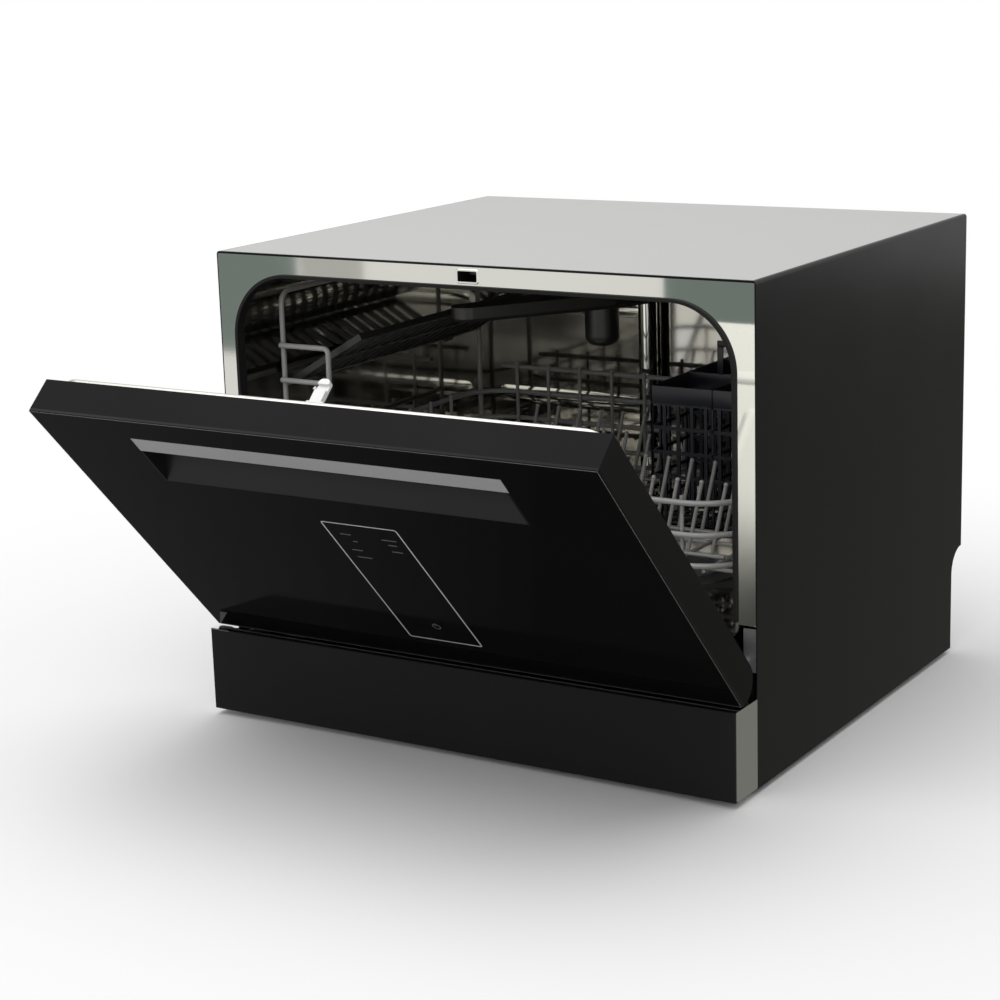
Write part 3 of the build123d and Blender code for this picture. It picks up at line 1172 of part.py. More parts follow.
def cutlery_basket():
    low = FLOOR_TOP + RUN_GAP
    high = low + BASKET_TALL
    x0, x1 = BASKET_X - BASKET_WIDTH / 2, BASKET_X + BASKET_WIDTH / 2
    y0, y1 = BASKET_Y - BASKET_LONG / 2, BASKET_Y + BASKET_LONG / 2
    basket = block(x0, x1, y0, y1, low, high)
    cell_x = (BASKET_WIDTH - 3 * BASKET_WALL) / 2
    cell_y = (BASKET_LONG - 4 * BASKET_WALL) / 3
    for i in range(2):
        for j in range(3):
            x = x0 + BASKET_WALL + i * (cell_x + BASKET_WALL)
            y = y0 + BASKET_WALL + j * (cell_y + BASKET_WALL)
            basket -= block(x, x + cell_x, y, y + cell_y, low + BASKET_WALL, high + 1)
    grip = BASKET_WIDTH / 4
    bar = 3 * BASKET_WALL
    wall_y = y0 + BASKET_WALL + cell_y
    handle = block(BASKET_X - grip, BASKET_X + grip, wall_y, wall_y + BASKET_WALL, high, high + grip)
    finger = block(BASKET_X - grip + bar, BASKET_X + grip - bar, y0, y1, high, high + grip - bar)
    return [basket + (handle - finger)]


CABINET_NODES = {
    "left_side_panel": left_side_panel,
    "right_side_panel": right_side_panel,
    "top_panel": top_panel,
    "top_front_rail": top_front_rail,
    "rear_panel": rear_panel,
    "panel_screws": panel_screws,
    "base_tray": base_tray,
    "feet": feet,
    "plinth_panel": plinth_panel,
    "plinth_frame": plinth_frame,
    "front_frame": front_frame,
    "tub_wrap": tub_wrap,
    "tub_back": tub_back,
    "tub_floor": tub_floor,
    "tub_seal": tub_seal,
    "lower_seal": lower_seal,
    "sump": sump,
    "fine_filter": fine_filter,
    "coarse_filter": coarse_filter,
    "spray_hub": spray_hub,
    "lower_spray_arm": lower_spray_arm,
    "upper_spray_arm": upper_spray_arm,
    "spray_arm_nuts": spray_arm_nuts,
    "upper_feed_pipe": upper_feed_pipe,
    "wash_pump": wash_pump,
    "wash_impeller": wash_impeller,
    "drain_pump": drain_pump,
    "drain_impeller": drain_impeller,
    "flow_heater": flow_heater,
    "water_hoses": water_hoses,
    "salt_container": salt_container,
    "salt_cap": salt_cap,
    "water_chamber": water_chamber,
    "inlet_valve": inlet_valve,
    "drain_spigot": drain_spigot,
    "cord_gland": cord_gland,
    "control_box": control_box,
    "float_ring": float_ring,
    "latch_housing": latch_housing,
    "latch_catch": latch_catch,
    "hinge_brackets": hinge_brackets,
    "hinge_pins": hinge_pins,
    "friction_discs": friction_discs,
    "rack_frame": rack_frame,
    "front_wheels": front_wheels,
    "rear_wheels": rear_wheels,
    "cup_shelf": cup_shelf,
    "cutlery_basket": cutlery_basket,
}

DOOR_NODES = {
    "door_outer_panel": door_outer_panel,
    "door_frame": door_frame,
    "door_inner_liner": door_inner_liner,
    "handle_strip": handle_strip,
    "handle_pocket": handle_pocket,
    "control_board": control_board,
    "dispenser_body": dispenser_body,
    "dispenser_lid": dispenser_lid,
    "dispenser_catch": dispenser_catch,
    "rinse_aid_cap": rinse_aid_cap,
    "latch_striker": latch_striker,
    "hinge_arms": hinge_arms,
}


def write(name, pieces):
    """Move the pieces into the part's own frame and write them as one node."""
    solids = [solid for piece in pieces for solid in (Pos(0, -ORIGIN_Y, 0) * piece).solids()]
    whole = solids[0] if len(solids) == 1 else Compound(children=solids)
    export_step(whole, os.path.join("parts", name + ".step"))


os.makedirs("parts", exist_ok=True)
for node_name, maker in CABINET_NODES.items():
    write(node_name, maker())
for node_name, maker in DOOR_NODES.items():
    write(node_name, [on_door(piece) for piece in maker()])
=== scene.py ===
import json
from math import cos, radians, sin

import bmesh
import bpy
from mathutils import Matrix, Vector


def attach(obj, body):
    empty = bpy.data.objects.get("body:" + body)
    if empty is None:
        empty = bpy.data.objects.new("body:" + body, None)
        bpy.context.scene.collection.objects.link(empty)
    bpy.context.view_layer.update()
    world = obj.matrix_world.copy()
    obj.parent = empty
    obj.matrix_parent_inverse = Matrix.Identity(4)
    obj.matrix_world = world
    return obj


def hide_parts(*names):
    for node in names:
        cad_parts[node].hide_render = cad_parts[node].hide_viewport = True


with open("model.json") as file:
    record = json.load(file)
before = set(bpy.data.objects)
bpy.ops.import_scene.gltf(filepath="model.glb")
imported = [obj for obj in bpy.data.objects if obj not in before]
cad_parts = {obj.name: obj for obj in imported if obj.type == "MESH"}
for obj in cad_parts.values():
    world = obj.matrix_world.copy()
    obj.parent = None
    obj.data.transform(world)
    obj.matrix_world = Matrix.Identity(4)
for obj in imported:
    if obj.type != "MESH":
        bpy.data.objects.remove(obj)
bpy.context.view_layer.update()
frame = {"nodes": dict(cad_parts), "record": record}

# Pieces are drawn in millimetres: x from the middle, y back from the front of the steel frame round the tub
# mouth, z up from the floor. What rides on the door is drawn with the door closed.
MM = 0.001
FRAME_PLANE_Y = 104.033
HINGE = Vector((0, -28, 106))
DOOR_ANGLE = 43.0
DOOR_FRONT = -42.0
LINER_FACE = -3.0
TUB_SIDE = 257.0
TUB_BACK = 430.0
REAR_FACE = 469.0

TO_PART = Matrix.Translation((0, -FRAME_PLANE_Y * MM, 0)) @ Matrix.Scale(MM, 4)
TO_DOOR = (TO_PART @ Matrix.Translation(HINGE) @ Matrix.Rotation(radians(DOOR_ANGLE), 4, "X")
           @ Matrix.Translation(-HINGE))

# Turns for what is drawn flat: to face the user, and to face the rear
FACE_FRONT = Matrix.Rotation(radians(90), 4, "X")
FACE_REAR = Matrix.Rotation(radians(180), 4, "Z") @ FACE_FRONT
QUARTER_TURN = Matrix.Rotation(radians(90), 4, "Z")


# Shared surface effects

NOISE_LOW, NOISE_HIGH = 0.3, 0.7
EVEN = (1, 1, 1)
LINES_ALONG_X = (0.04, 1, 1)
LINES_ALONG_Y = (1, 0.04, 1)


def effect(name, inputs, outputs):
    """An empty shader node group with named sockets."""
    tree = bpy.data.node_groups.new(name, "ShaderNodeTree")
    for label, kind, value in inputs:
        socket = tree.interface.new_socket(label, in_out="INPUT", socket_type="NodeSocket" + kind)
        socket.default_value = value
    for label, kind in outputs:
        tree.interface.new_socket(label, in_out="OUTPUT", socket_type="NodeSocket" + kind)
    return tree, tree.nodes.new("NodeGroupInput").outputs, tree.nodes.new("NodeGroupOutput").inputs


def object_noise(tree, stretch, scale, detail):
    """Noise on Object coordinates. Stretch and scale are sockets or values."""
    place = tree.nodes.new("ShaderNodeTexCoord")
    mapping = tree.nodes.new("ShaderNodeMapping")
    noise = tree.nodes.new("ShaderNodeTexNoise")
    tree.links.new(place.outputs["Object"], mapping.inputs["Vector"])
    tree.links.new(mapping.outputs["Vector"], noise.inputs["Vector"])
    for value, socket in ((stretch, mapping.inputs["Scale"]), (scale, noise.inputs["Scale"])):
        if isinstance(value, bpy.types.NodeSocket):
            tree.links.new(value, socket)
        else:
            socket.default_value = value
    noise.inputs["Detail"].default_value = detail
    return noise.outputs["Fac"]


def blend_colours(tree, factor, low, high):
    """A colour between two sockets."""
    mix = tree.nodes.new("ShaderNodeMix")
    mix.data_type = "RGBA"
    tree.links.new(factor, mix.inputs["Factor"])
    tree.links.new(low, mix.inputs["A"])
    tree.links.new(high, mix.inputs["B"])
    return mix.outputs["Result"]


def spread_value(tree, factor, low, high):
    """A value between two sockets, from the middle part of the noise."""
    spread = tree.nodes.new("ShaderNodeMapRange")
    spread.inputs["From Min"].default_value = NOISE_LOW
    spread.inputs["From Max"].default_value = NOISE_HIGH
    tree.links.new(factor, spread.inputs["Value"])
    tree.links.new(low, spread.inputs["To Min"])
    tree.links.new(high, spread.inputs["To Max"])
    return spread.outputs["Result"]


def make_mottle():
    """Slow drift of colour and of gloss over a surface."""
    tree, given, out = effect(
        "mottle",
        [("Scale", "Float", 8.0), ("Dark", "Color", (0, 0, 0, 1)), ("Light", "Color", (1, 1, 1, 1)),
         ("Smoothest", "Float", 0.2), ("Roughest", "Float", 0.3)],
        [("Colour", "Color"), ("Roughness", "Float")])
    drift = object_noise(tree, EVEN, given["Scale"], 3.0)
    tree.links.new(blend_colours(tree, drift, given["Dark"], given["Light"]), out["Colour"])
    tree.links.new(spread_value(tree, drift, given["Smoothest"], given["Roughest"]), out["Roughness"])
    return tree


def make_grain():
    """Fine height: orange peel of paint, spark grain of moulded plastic, rolling lines of sheet steel."""
    tree, given, out = effect(
        "grain",
        [("Scale", "Float", 600.0), ("Stretch", "Vector", EVEN), ("Waves", "Float", 0.0),
         ("Wave Scale", "Float", 9.0)],
        [("Height", "Float")])
    fine = object_noise(tree, given["Stretch"], given["Scale"], 2.0)
    slow = object_noise(tree, EVEN, given["Wave Scale"], 1.0)
    waves = tree.nodes.new("ShaderNodeMath")
    waves.operation = "MULTIPLY_ADD"
    tree.links.new(slow, waves.inputs[0])
    tree.links.new(given["Waves"], waves.inputs[1])
    tree.links.new(fine, waves.inputs[2])
    tree.links.new(waves.outputs[0], out["Height"])
    return tree


MOTTLE = make_mottle()
GRAIN = make_grain()


def use_effect(tree, group, values):
    """Put an effect into a material with its inputs set."""
    node = tree.nodes.new("ShaderNodeGroup")
    node.node_tree = group
    for label, value in values.items():
        node.inputs[label].default_value = value
    return node.outputs


def grey(level):
    return level, level, level


def finish(name, dark, light, gloss, metallic=0.0, grain=600.0, depth=0.02, stretch=EVEN, drift=8.0,
           waves=0.0, wave_scale=9.0, specular=0.5):
    """A material whose colour and gloss drift slowly. The grain's depth is in millimetres."""
    material = bpy.data.materials.new(name)
    material.use_nodes = True
    tree = material.node_tree
    shader = tree.nodes["Principled BSDF"]
    mottle = use_effect(tree, MOTTLE, {"Scale": drift, "Dark": (*dark, 1), "Light": (*light, 1),
                                       "Smoothest": gloss[0], "Roughest": gloss[1]})
    texture = use_effect(tree, GRAIN, {"Scale": grain, "Stretch": stretch, "Waves": waves,
                                       "Wave Scale": wave_scale})
    bump = tree.nodes.new("ShaderNodeBump")
    bump.inputs["Strength"].default_value = 1.0
    bump.inputs["Distance"].default_value = depth * MM
    tree.links.new(texture["Height"], bump.inputs["Height"])
    tree.links.new(mottle["Colour"], shader.inputs["Base Color"])
    tree.links.new(mottle["Roughness"], shader.inputs["Roughness"])
    tree.links.new(bump.outputs["Normal"], shader.inputs["Normal"])
    shader.inputs["Metallic"].default_value = metallic
    shader.inputs["Specular IOR Level"].default_value = specular
    return material


# Each finish has its darkest and lightest colour, then its smoothest and roughest gloss.
FINISHES = {
    "black_paint": finish(
        "black_side_paint", (0.006, 0.0056, 0.0064), (0.0074, 0.007, 0.0078), (0.18, 0.24),
        grain=900, depth=0.012, specular=0.1),
    # Light grey on the top panel is painted sheen, standing for the light that the black-painted top
    # reflects.
    "grey_paint": finish(
        "top_painted_sheen", (0.38, 0.38, 0.375), (0.43, 0.43, 0.425), (0.42, 0.5), grain=900, depth=0.012),
    "polished_steel": finish(
        "polished_steel", (0.63, 0.64, 0.61), (0.68, 0.69, 0.66), (0.03, 0.06), metallic=1.0,
        grain=500, depth=0.002, stretch=LINES_ALONG_X, waves=20.0, wave_scale=5.0),
    "tub_steel": finish(
        "bright_tub_steel", (0.46, 0.45, 0.415), (0.54, 0.53, 0.485), (0.05, 0.10), metallic=1.0,
        grain=500, depth=0.004, stretch=LINES_ALONG_Y, waves=40.0, wave_scale=7.0),
    "liner_steel": finish(
        "satin_liner_steel", (0.43, 0.42, 0.395), (0.49, 0.48, 0.45), (0.26, 0.32), metallic=1.0,
        grain=500, depth=0.004, stretch=LINES_ALONG_X),
    "zinc_steel": finish(
        "zinc_coated_steel", (0.44, 0.45, 0.46), (0.52, 0.53, 0.54), (0.44, 0.50), metallic=1.0,
        grain=300, depth=0.01, drift=40.0),
    "black_glass": finish(
        "black_door_glass", grey(0.003), grey(0.004), (0.05, 0.08),
        grain=60, depth=0.003, drift=5.0, specular=0.09),
    "plinth_black": finish(
        "gloss_black_plinth", (0.0165, 0.0155, 0.0165), (0.0205, 0.0195, 0.0205), (0.06, 0.1),
        grain=120, depth=0.004, drift=5.0, specular=0.2),
    "door_black": finish(
        "satin_black_door_edge", grey(0.003), grey(0.0042), (0.42, 0.5),
        grain=900, depth=0.012, specular=0.07),
    "grey_alloy": finish(
        "brushed_grip_strip", grey(0.30), grey(0.34), (0.34, 0.42), metallic=0.1,
        grain=700, depth=0.006, stretch=LINES_ALONG_X),
    "pocket_plastic": finish(
        "dark_scoop", grey(0.008), grey(0.011), (0.30, 0.38), grain=1200, depth=0.01, specular=0.2),
    "base_plastic": finish(
        "black_base_plastic", grey(0.02), grey(0.026), (0.5, 0.6), grain=1400, depth=0.02),
    "seal_rubber": finish(
        "seal_rubber", grey(0.008), grey(0.011), (0.6, 0.72), grain=1200, depth=0.02, specular=0.2),
    "foot_rubber": finish(
        "foot_rubber", grey(0.016), grey(0.022), (0.7, 0.8), grain=1500, depth=0.03),
    "grey_plastic": finish(
        "grey_moulding", (0.17, 0.18, 0.19), (0.21, 0.22, 0.23), (0.4, 0.5), grain=1400, depth=0.015),
    "dark_plastic": finish(
        "dark_moulding", (0.017, 0.017, 0.0165), (0.023, 0.023, 0.022), (0.30, 0.40),
        grain=1400, depth=0.015),
    "navy_plastic": finish(
        "navy_basket", (0.005, 0.006, 0.012), (0.007, 0.009, 0.017), (0.32, 0.42), grain=1400, depth=0.015),
    "white_plastic": finish(
        "white_moulding", (0.74, 0.74, 0.73), (0.80, 0.80, 0.79), (0.28, 0.36), grain=1200, depth=0.01),
    "rack_coating": finish(
        "grey_rack_coating", (0.29, 0.29, 0.285), (0.35, 0.35, 0.345), (0.3, 0.42),
        grain=500, depth=0.02, drift=30.0),
    "filter_steel": finish(
        "filter_mesh", grey(0.16), grey(0.30), (0.3, 0.4), metallic=0.8, grain=900, depth=0.2, drift=900.0),
    "board_green": finish(
        "circuit_board", (0.010, 0.08, 0.03), (0.016, 0.11, 0.04), (0.35, 0.5), grain=400, depth=0.02),
    "disc_fibre": finish(
        "friction_fibre", (0.17, 0.11, 0.07), (0.23, 0.16, 0.10), (0.7, 0.8), grain=900, depth=0.05),
}
PRINT = finish("pale_print", grey(0.48), grey(0.55), (0.4, 0.5), grain=900, depth=0.005)
# A grey line on the black glass: painted highlight of its polished edge.
GLASS_EDGE_HIGHLIGHT = finish("painted_glass_edge_highlight", grey(0.09), grey(0.12), (0.15, 0.22), grain=300, depth=0.003)
FAINT_PRINT = finish("faint_print", grey(0.10), grey(0.13), (0.4, 0.5), grain=900, depth=0.005)

for subpart in frame["record"]["subparts"]:
    node = frame["nodes"][subpart["node"]]
    node.data.materials.clear()
    node.data.materials.append(FINISHES[subpart["material_slot"]])
frame["nodes"]["door_inner_liner"].data.materials[0] = FINISHES["liner_steel"]


# Tools for new pieces

SMOOTH_ANGLE = 35.0


def add_object(name, mesh):
    """Turn a bmesh into an object of the scene."""
    data = bpy.data.meshes.new(name)
    mesh.to_mesh(data)
    mesh.free()
    shown = bpy.data.objects.new(name, data)
    bpy.context.scene.collection.objects.link(shown)
    return shown


def piece(name, mesh, place, body, material):
    """Turn a bmesh drawn in millimetres into a piece that rides on a body."""
    bmesh.ops.transform(mesh, matrix=place, verts=mesh.verts)
    bmesh.ops.recalc_face_normals(mesh, faces=mesh.faces)
    shown = add_object(name, mesh)
    shown.data.shade_smooth()
    shown.data.set_sharp_from_angle(angle=radians(SMOOTH_ANGLE))
    shown.data.materials.append(material)
    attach(shown, body)
    return shown


def join(mesh, part, place):
    """Add a finished shape to a mesh."""
    bmesh.ops.transform(part, matrix=place, verts=part.verts)
    data = bpy.data.meshes.new("joined")
    part.to_mesh(data)
    part.free()
    mesh.from_mesh(data)
    bpy.data.meshes.remove(data)


def new_corners(made):
    """The vertices among what an operator made."""
    return [v for v in made["geom"] if isinstance(v, bmesh.types.BMVert)]


def plate(width, height, corner, steps):
    """A flat plate about the middle, with round corners where a corner is given."""
    part = bmesh.new()
    bmesh.ops.create_grid(part, x_segments=1, y_segments=1, size=0.5)
    bmesh.ops.scale(part, vec=(width, height, 1), verts=part.verts)
    if corner:
        bmesh.ops.bevel(part, geom=part.verts[:], offset=corner, segments=steps, profile=0.5,
                        affect="VERTICES", material=-1)
    return part


def keep_border(part, line):
    """Cut a flat plate down to a border of the given width."""
    border = bmesh.ops.inset_region(part, faces=part.faces[:], thickness=line, use_boundary=True,
                                    use_even_offset=True)["faces"]
    bmesh.ops.delete(part, geom=[f for f in part.faces if f not in border], context="FACES")


def raise_faces(part, rise):
    """Give flat faces a thickness, and return the corners of the raised side."""
    top = new_corners(bmesh.ops.extrude_face_region(part, geom=part.faces[:]))
    bmesh.ops.translate(part, verts=top, vec=(0, 0, rise))
    return top


def lattice(width, height, columns, rows, bar, thick):
    """A moulded wall with rows of openings, drawn flat about the middle."""
    part = bmesh.new()
    bmesh.ops.create_grid(part, x_segments=columns, y_segments=rows, size=0.5)
    bmesh.ops.scale(part, vec=(width, height, 1), verts=part.verts)
    bars = bmesh.ops.inset_individual(part, faces=part.faces[:], thickness=bar / 2,
                                      use_even_offset=True)["faces"]
    bmesh.ops.delete(part, geom=[f for f in part.faces if f not in bars], context="FACES")
    bmesh.ops.solidify(part, geom=part.faces[:], thickness=thick)
    bmesh.ops.translate(part, verts=part.verts, vec=(0, 0, thick / 2))
    return part


def slab(x0, x1, y0, y1, z0, z1, soft):
    """A moulded bar with softened edges."""
    part = bmesh.new()
    bmesh.ops.create_cube(part, size=1.0)
    bmesh.ops.scale(part, vec=(x1 - x0, y1 - y0, z1 - z0), verts=part.verts)
    bmesh.ops.translate(part, vec=((x0 + x1) / 2, (y0 + y1) / 2, (z0 + z1) / 2), verts=part.verts)
    bmesh.ops.bevel(part, geom=part.edges[:], offset=soft, segments=2, profile=0.5,
                    affect="EDGES", material=-1)
    return part


# Print on the door glass, and a painted highlight along its edge

LINE_THICK = 0.12
CORNER_STEPS = 4
TOUCH_WIDE, TOUCH_TALL, TOUCH_MID_Z = 76.0, 183.5, 220.25
TOUCH_CORNER = 2.5
TOUCH_LINE = 1.1
GLASS_WIDE, GLASS_TALL, GLASS_MID_Z = 549.6, 341.2, 263.2
GLASS_LINE = 0.7

MARK_THICK = 0.1
MARK_LINE = 1.2
MARK_CORNER = 0.5
# Place across, height and length of each dash
DASHES = ((-21, 295, 11), (-16, 285, 5), (-21, 271, 11), (-19, 260, 15), (22, 293.5, 15), (22, 286, 9),
          (22, 276, 11))
POWER_X, POWER_Z = 2.0, 154.0
POWER_R = 4.2
POWER_HOLE = 0.76
POWER_STEPS = 32
STROKE_Z, STROKE_TALL = 157.0, 4.5


def line_on_door(width, height, corner, z, line):
    """A thin raised line round a rectangle in the middle of the door front."""
    mesh = plate(width, height, corner, CORNER_STEPS)
    keep_border(mesh, line)
    raise_faces(mesh, LINE_THICK)
    bmesh.ops.transform(mesh, matrix=Matrix.Translation((0, DOOR_FRONT, z)) @ FACE_FRONT, verts=mesh.verts)
    return mesh


def control_outline():
    """Thin printed line round the touch area."""
    mesh = line_on_door(TOUCH_WIDE, TOUCH_TALL, TOUCH_CORNER, TOUCH_MID_Z, TOUCH_LINE)
    piece("control_outline", mesh, TO_DOOR, "door", PRINT)


def glass_edge_highlight():
    """Polished chamfer round the door glass, drawn as a fine raised line in a painted highlight."""
    mesh = line_on_door(GLASS_WIDE, GLASS_TALL, 0, GLASS_MID_Z, GLASS_LINE)
    piece("glass_edge_highlight", mesh, TO_DOOR, "door", GLASS_EDGE_HIGHLIGHT)


def touch_marks():
    """Short dashes beside the touch places, and a ring with a stroke for the power place."""
    mesh = bmesh.new()
    for x, z, width in DASHES:
        join(mesh, plate(width, MARK_LINE, MARK_CORNER, CORNER_STEPS), Matrix.Translation((x, z, 0)))
    join(mesh, plate(MARK_LINE, STROKE_TALL, MARK_CORNER, CORNER_STEPS),
         Matrix.Translation((POWER_X, STROKE_Z, 0)))
    raise_faces(mesh, MARK_THICK)
    ring = bmesh.new()
    bmesh.ops.create_circle(ring, segments=POWER_STEPS, radius=POWER_R)
    inner = new_corners(bmesh.ops.extrude_edge_only(ring, edges=ring.edges[:]))
    bmesh.ops.scale(ring, verts=inner, vec=(POWER_HOLE, POWER_HOLE, 1))
    join(mesh, ring, Matrix.Translation((POWER_X, POWER_Z, MARK_THICK)))
    bmesh.ops.transform(mesh, matrix=Matrix.Translation((0, DOOR_FRONT, 0)) @ FACE_FRONT, verts=mesh.verts)
    piece("touch_marks", mesh, TO_DOOR, "door", FAINT_PRINT)


# Cutlery basket

BASKET_X, BASKET_Y = 159.5, 260.0
BASKET_WIDE, BASKET_LONG = 125.0, 220.0
BASKET_LOW, BASKET_HIGH = 183.75, 312.75
BASKET_WALL = 2.0
RIM_TALL = 16.0
RIM_SOFT = 0.5
CELL_ROWS = 3
OPENINGS_WIDE, OPENINGS_LONG, OPENINGS_TALL = 9, 13, 5
WALL_BAR = 3.2
FLOOR_BAR = 3.0
GRIP_HALF = BASKET_WIDE / 4
GRIP_BAR = 6.0
GRIP_SINK = 1.0
GRIP_SOFT = 0.6


def cutlery_basket():
    """Open-walled basket with a rim, cell walls and a grip."""
    mesh = bmesh.new()
    half = BASKET_WALL / 2
    x0, x1 = BASKET_X - BASKET_WIDE / 2, BASKET_X + BASKET_WIDE / 2
    y0, y1 = BASKET_Y - BASKET_LONG / 2, BASKET_Y + BASKET_LONG / 2
    rim = BASKET_HIGH - RIM_TALL
    tall = rim - BASKET_LOW
    middle = BASKET_LOW + tall / 2
    pitch = (BASKET_LONG - BASKET_WALL) / CELL_ROWS
    rows = [y0 + i * pitch for i in range(CELL_ROWS + 1)]
    for y in rows:
        join(mesh, lattice(BASKET_WIDE, tall, OPENINGS_WIDE, OPENINGS_TALL, WALL_BAR, BASKET_WALL),
             Matrix.Translation((BASKET_X, y + half, middle)) @ FACE_FRONT)
        join(mesh, slab(x0, x1, y, y + BASKET_WALL, rim, BASKET_HIGH, RIM_SOFT), Matrix())
    for x in (x0 + half, BASKET_X, x1 - half):
        join(mesh, lattice(BASKET_LONG, tall, OPENINGS_LONG, OPENINGS_TALL, WALL_BAR, BASKET_WALL),
             Matrix.Translation((x, BASKET_Y, middle)) @ QUARTER_TURN @ FACE_FRONT)
        join(mesh, slab(x - half, x + half, y0, y1, rim, BASKET_HIGH, RIM_SOFT), Matrix())
    join(mesh, lattice(BASKET_WIDE, BASKET_LONG, OPENINGS_WIDE, OPENINGS_LONG, FLOOR_BAR, BASKET_WALL),
         Matrix.Translation((BASKET_X, BASKET_Y, BASKET_LOW + half)))
    left, right = BASKET_X - GRIP_HALF, BASKET_X + GRIP_HALF
    front, back = rows[1], rows[1] + BASKET_WALL
    top = BASKET_HIGH + GRIP_HALF
    for x in (left, right - GRIP_BAR):
        join(mesh, slab(x, x + GRIP_BAR, front, back, BASKET_HIGH - GRIP_SINK, top - GRIP_BAR, GRIP_SOFT),
             Matrix())
    join(mesh, slab(left, right, front, back, top - GRIP_BAR, top, GRIP_SOFT), Matrix())
    basket = piece("basket_moulding", mesh, TO_PART, "cutlery_basket",
                   FINISHES["navy_plastic"])
    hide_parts("cutlery_basket")


# Pressings in the sheet steel. Each bead has its length, width and rise.

SIDE_BEAD = (300, 16, 1.0)
SIDE_BEAD_Y, SIDE_BEAD_Z = 215, 205
BACK_BEAD = (180, 18, 1.6)
BACK_BEAD_X = (-150, 150)
BACK_BEAD_Z = (230, 330)
REAR_BEAD = (420, 16, 0.9)
REAR_BEAD_Z = (160, 380)
LINER_BEAD = (430, 14, 0.9)
LINER_BEAD_Z = (160, 372)
LINER_END_BEAD = (150, 14, 0.9)
LINER_END_X = (-190, 190)
BEAD_ROUND, BEAD_STEPS = 0.48, 8
BEAD_SLOPE, BEAD_TOP = 0.6, 0.4

SLOT_Z = 427.75
LIP_WIDE, LIP_TALL = 23.4, 12.9
LIP_CORNER, LIP_STEPS = 2.6, 5
LIP_LINE = 1.5
LIP_RISE = 0.6
LIP_TAPER = (0.96, 0.93, 1)


def pressed_bead(length, width, rise):
    """A stiffening bead pressed into sheet, drawn flat about the middle."""
    part = plate(length, width, width * BEAD_ROUND, BEAD_STEPS)
    top = raise_faces(part, rise)
    bmesh.ops.scale(part, verts=top, vec=((length - BEAD_SLOPE * width) / length, BEAD_TOP, 1))
    return part


def beads(name, pressed, place, body, material):
    """A piece made of beads, each given by its sizes, its middle and its turn."""
    mesh = bmesh.new()
    for sizes, middle, turn in pressed:
        join(mesh, pressed_bead(*sizes), Matrix.Translation(middle) @ turn)
    piece(name, mesh, place, body, material)


def tub_beads():
    """Beads pressed into the side and rear walls of the tub."""
    pressed = [(SIDE_BEAD, (side * TUB_SIDE, SIDE_BEAD_Y, SIDE_BEAD_Z),
                Matrix.Rotation(radians(-90 * side), 4, "Z") @ FACE_FRONT) for side in (-1, 1)]
    pressed += [(BACK_BEAD, (x, TUB_BACK, z), FACE_FRONT) for x in BACK_BEAD_X for z in BACK_BEAD_Z]
    beads("tub_beads", pressed, TO_PART, "cabinet", FINISHES["tub_steel"])


def rear_beads():
    """Beads pressed into the rear panel."""
    pressed = [(REAR_BEAD, (0, REAR_FACE, z), FACE_REAR) for z in REAR_BEAD_Z]
    beads("rear_beads", pressed, TO_PART, "cabinet", FINISHES["zinc_steel"])


def liner_beads():
    """Raised border pressed into the inner door sheet, round the dispenser."""
    pressed = [(LINER_BEAD, (0, LINER_FACE, z), FACE_REAR) for z in LINER_BEAD_Z]
    middle = sum(LINER_BEAD_Z) / 2
    pressed += [(LINER_END_BEAD, (x, LINER_FACE, middle), FACE_REAR @ QUARTER_TURN) for x in LINER_END_X]
    beads("liner_beads", pressed, TO_DOOR, "door", FINISHES["liner_steel"])


def slot_lip():
    """Lip pressed round the slot of the latch in the top rail."""
    mesh = plate(LIP_WIDE, LIP_TALL, LIP_CORNER, LIP_STEPS)
    keep_border(mesh, LIP_LINE)
    outer = raise_faces(mesh, LIP_RISE)
    bmesh.ops.scale(mesh, verts=outer, vec=LIP_TAPER)
    lie = Matrix.Translation((0, 0, SLOT_Z)) @ FACE_FRONT
    piece("slot_lip", mesh, TO_PART @ lie, "cabinet", FINISHES["polished_steel"])


control_outline()
glass_edge_highlight()
touch_marks()
cutlery_basket()
tub_beads()
rear_beads()
liner_beads()
slot_lip()


# Stage, light and camera, all in metres

FLOOR_HALF = 6.0
FLOOR_LEVEL = 0.9
FLOOR_ROUGHNESS = 0.9
FLOOR_SPECULAR = 0.1
FADE_FROM, FADE_TO = 0.35, 1.1
WORLD_LIGHT = 0.5

# The view of the photograph
CAMERA_PLACE = (1.07720, -1.77322, 0.71123)
CAMERA_TURN = 32.192
CAMERA_RISE = 13.669
CAMERA_ROLL = -1.776
CAMERA_LENS = 83.155
SENSOR_WIDTH = 36.0

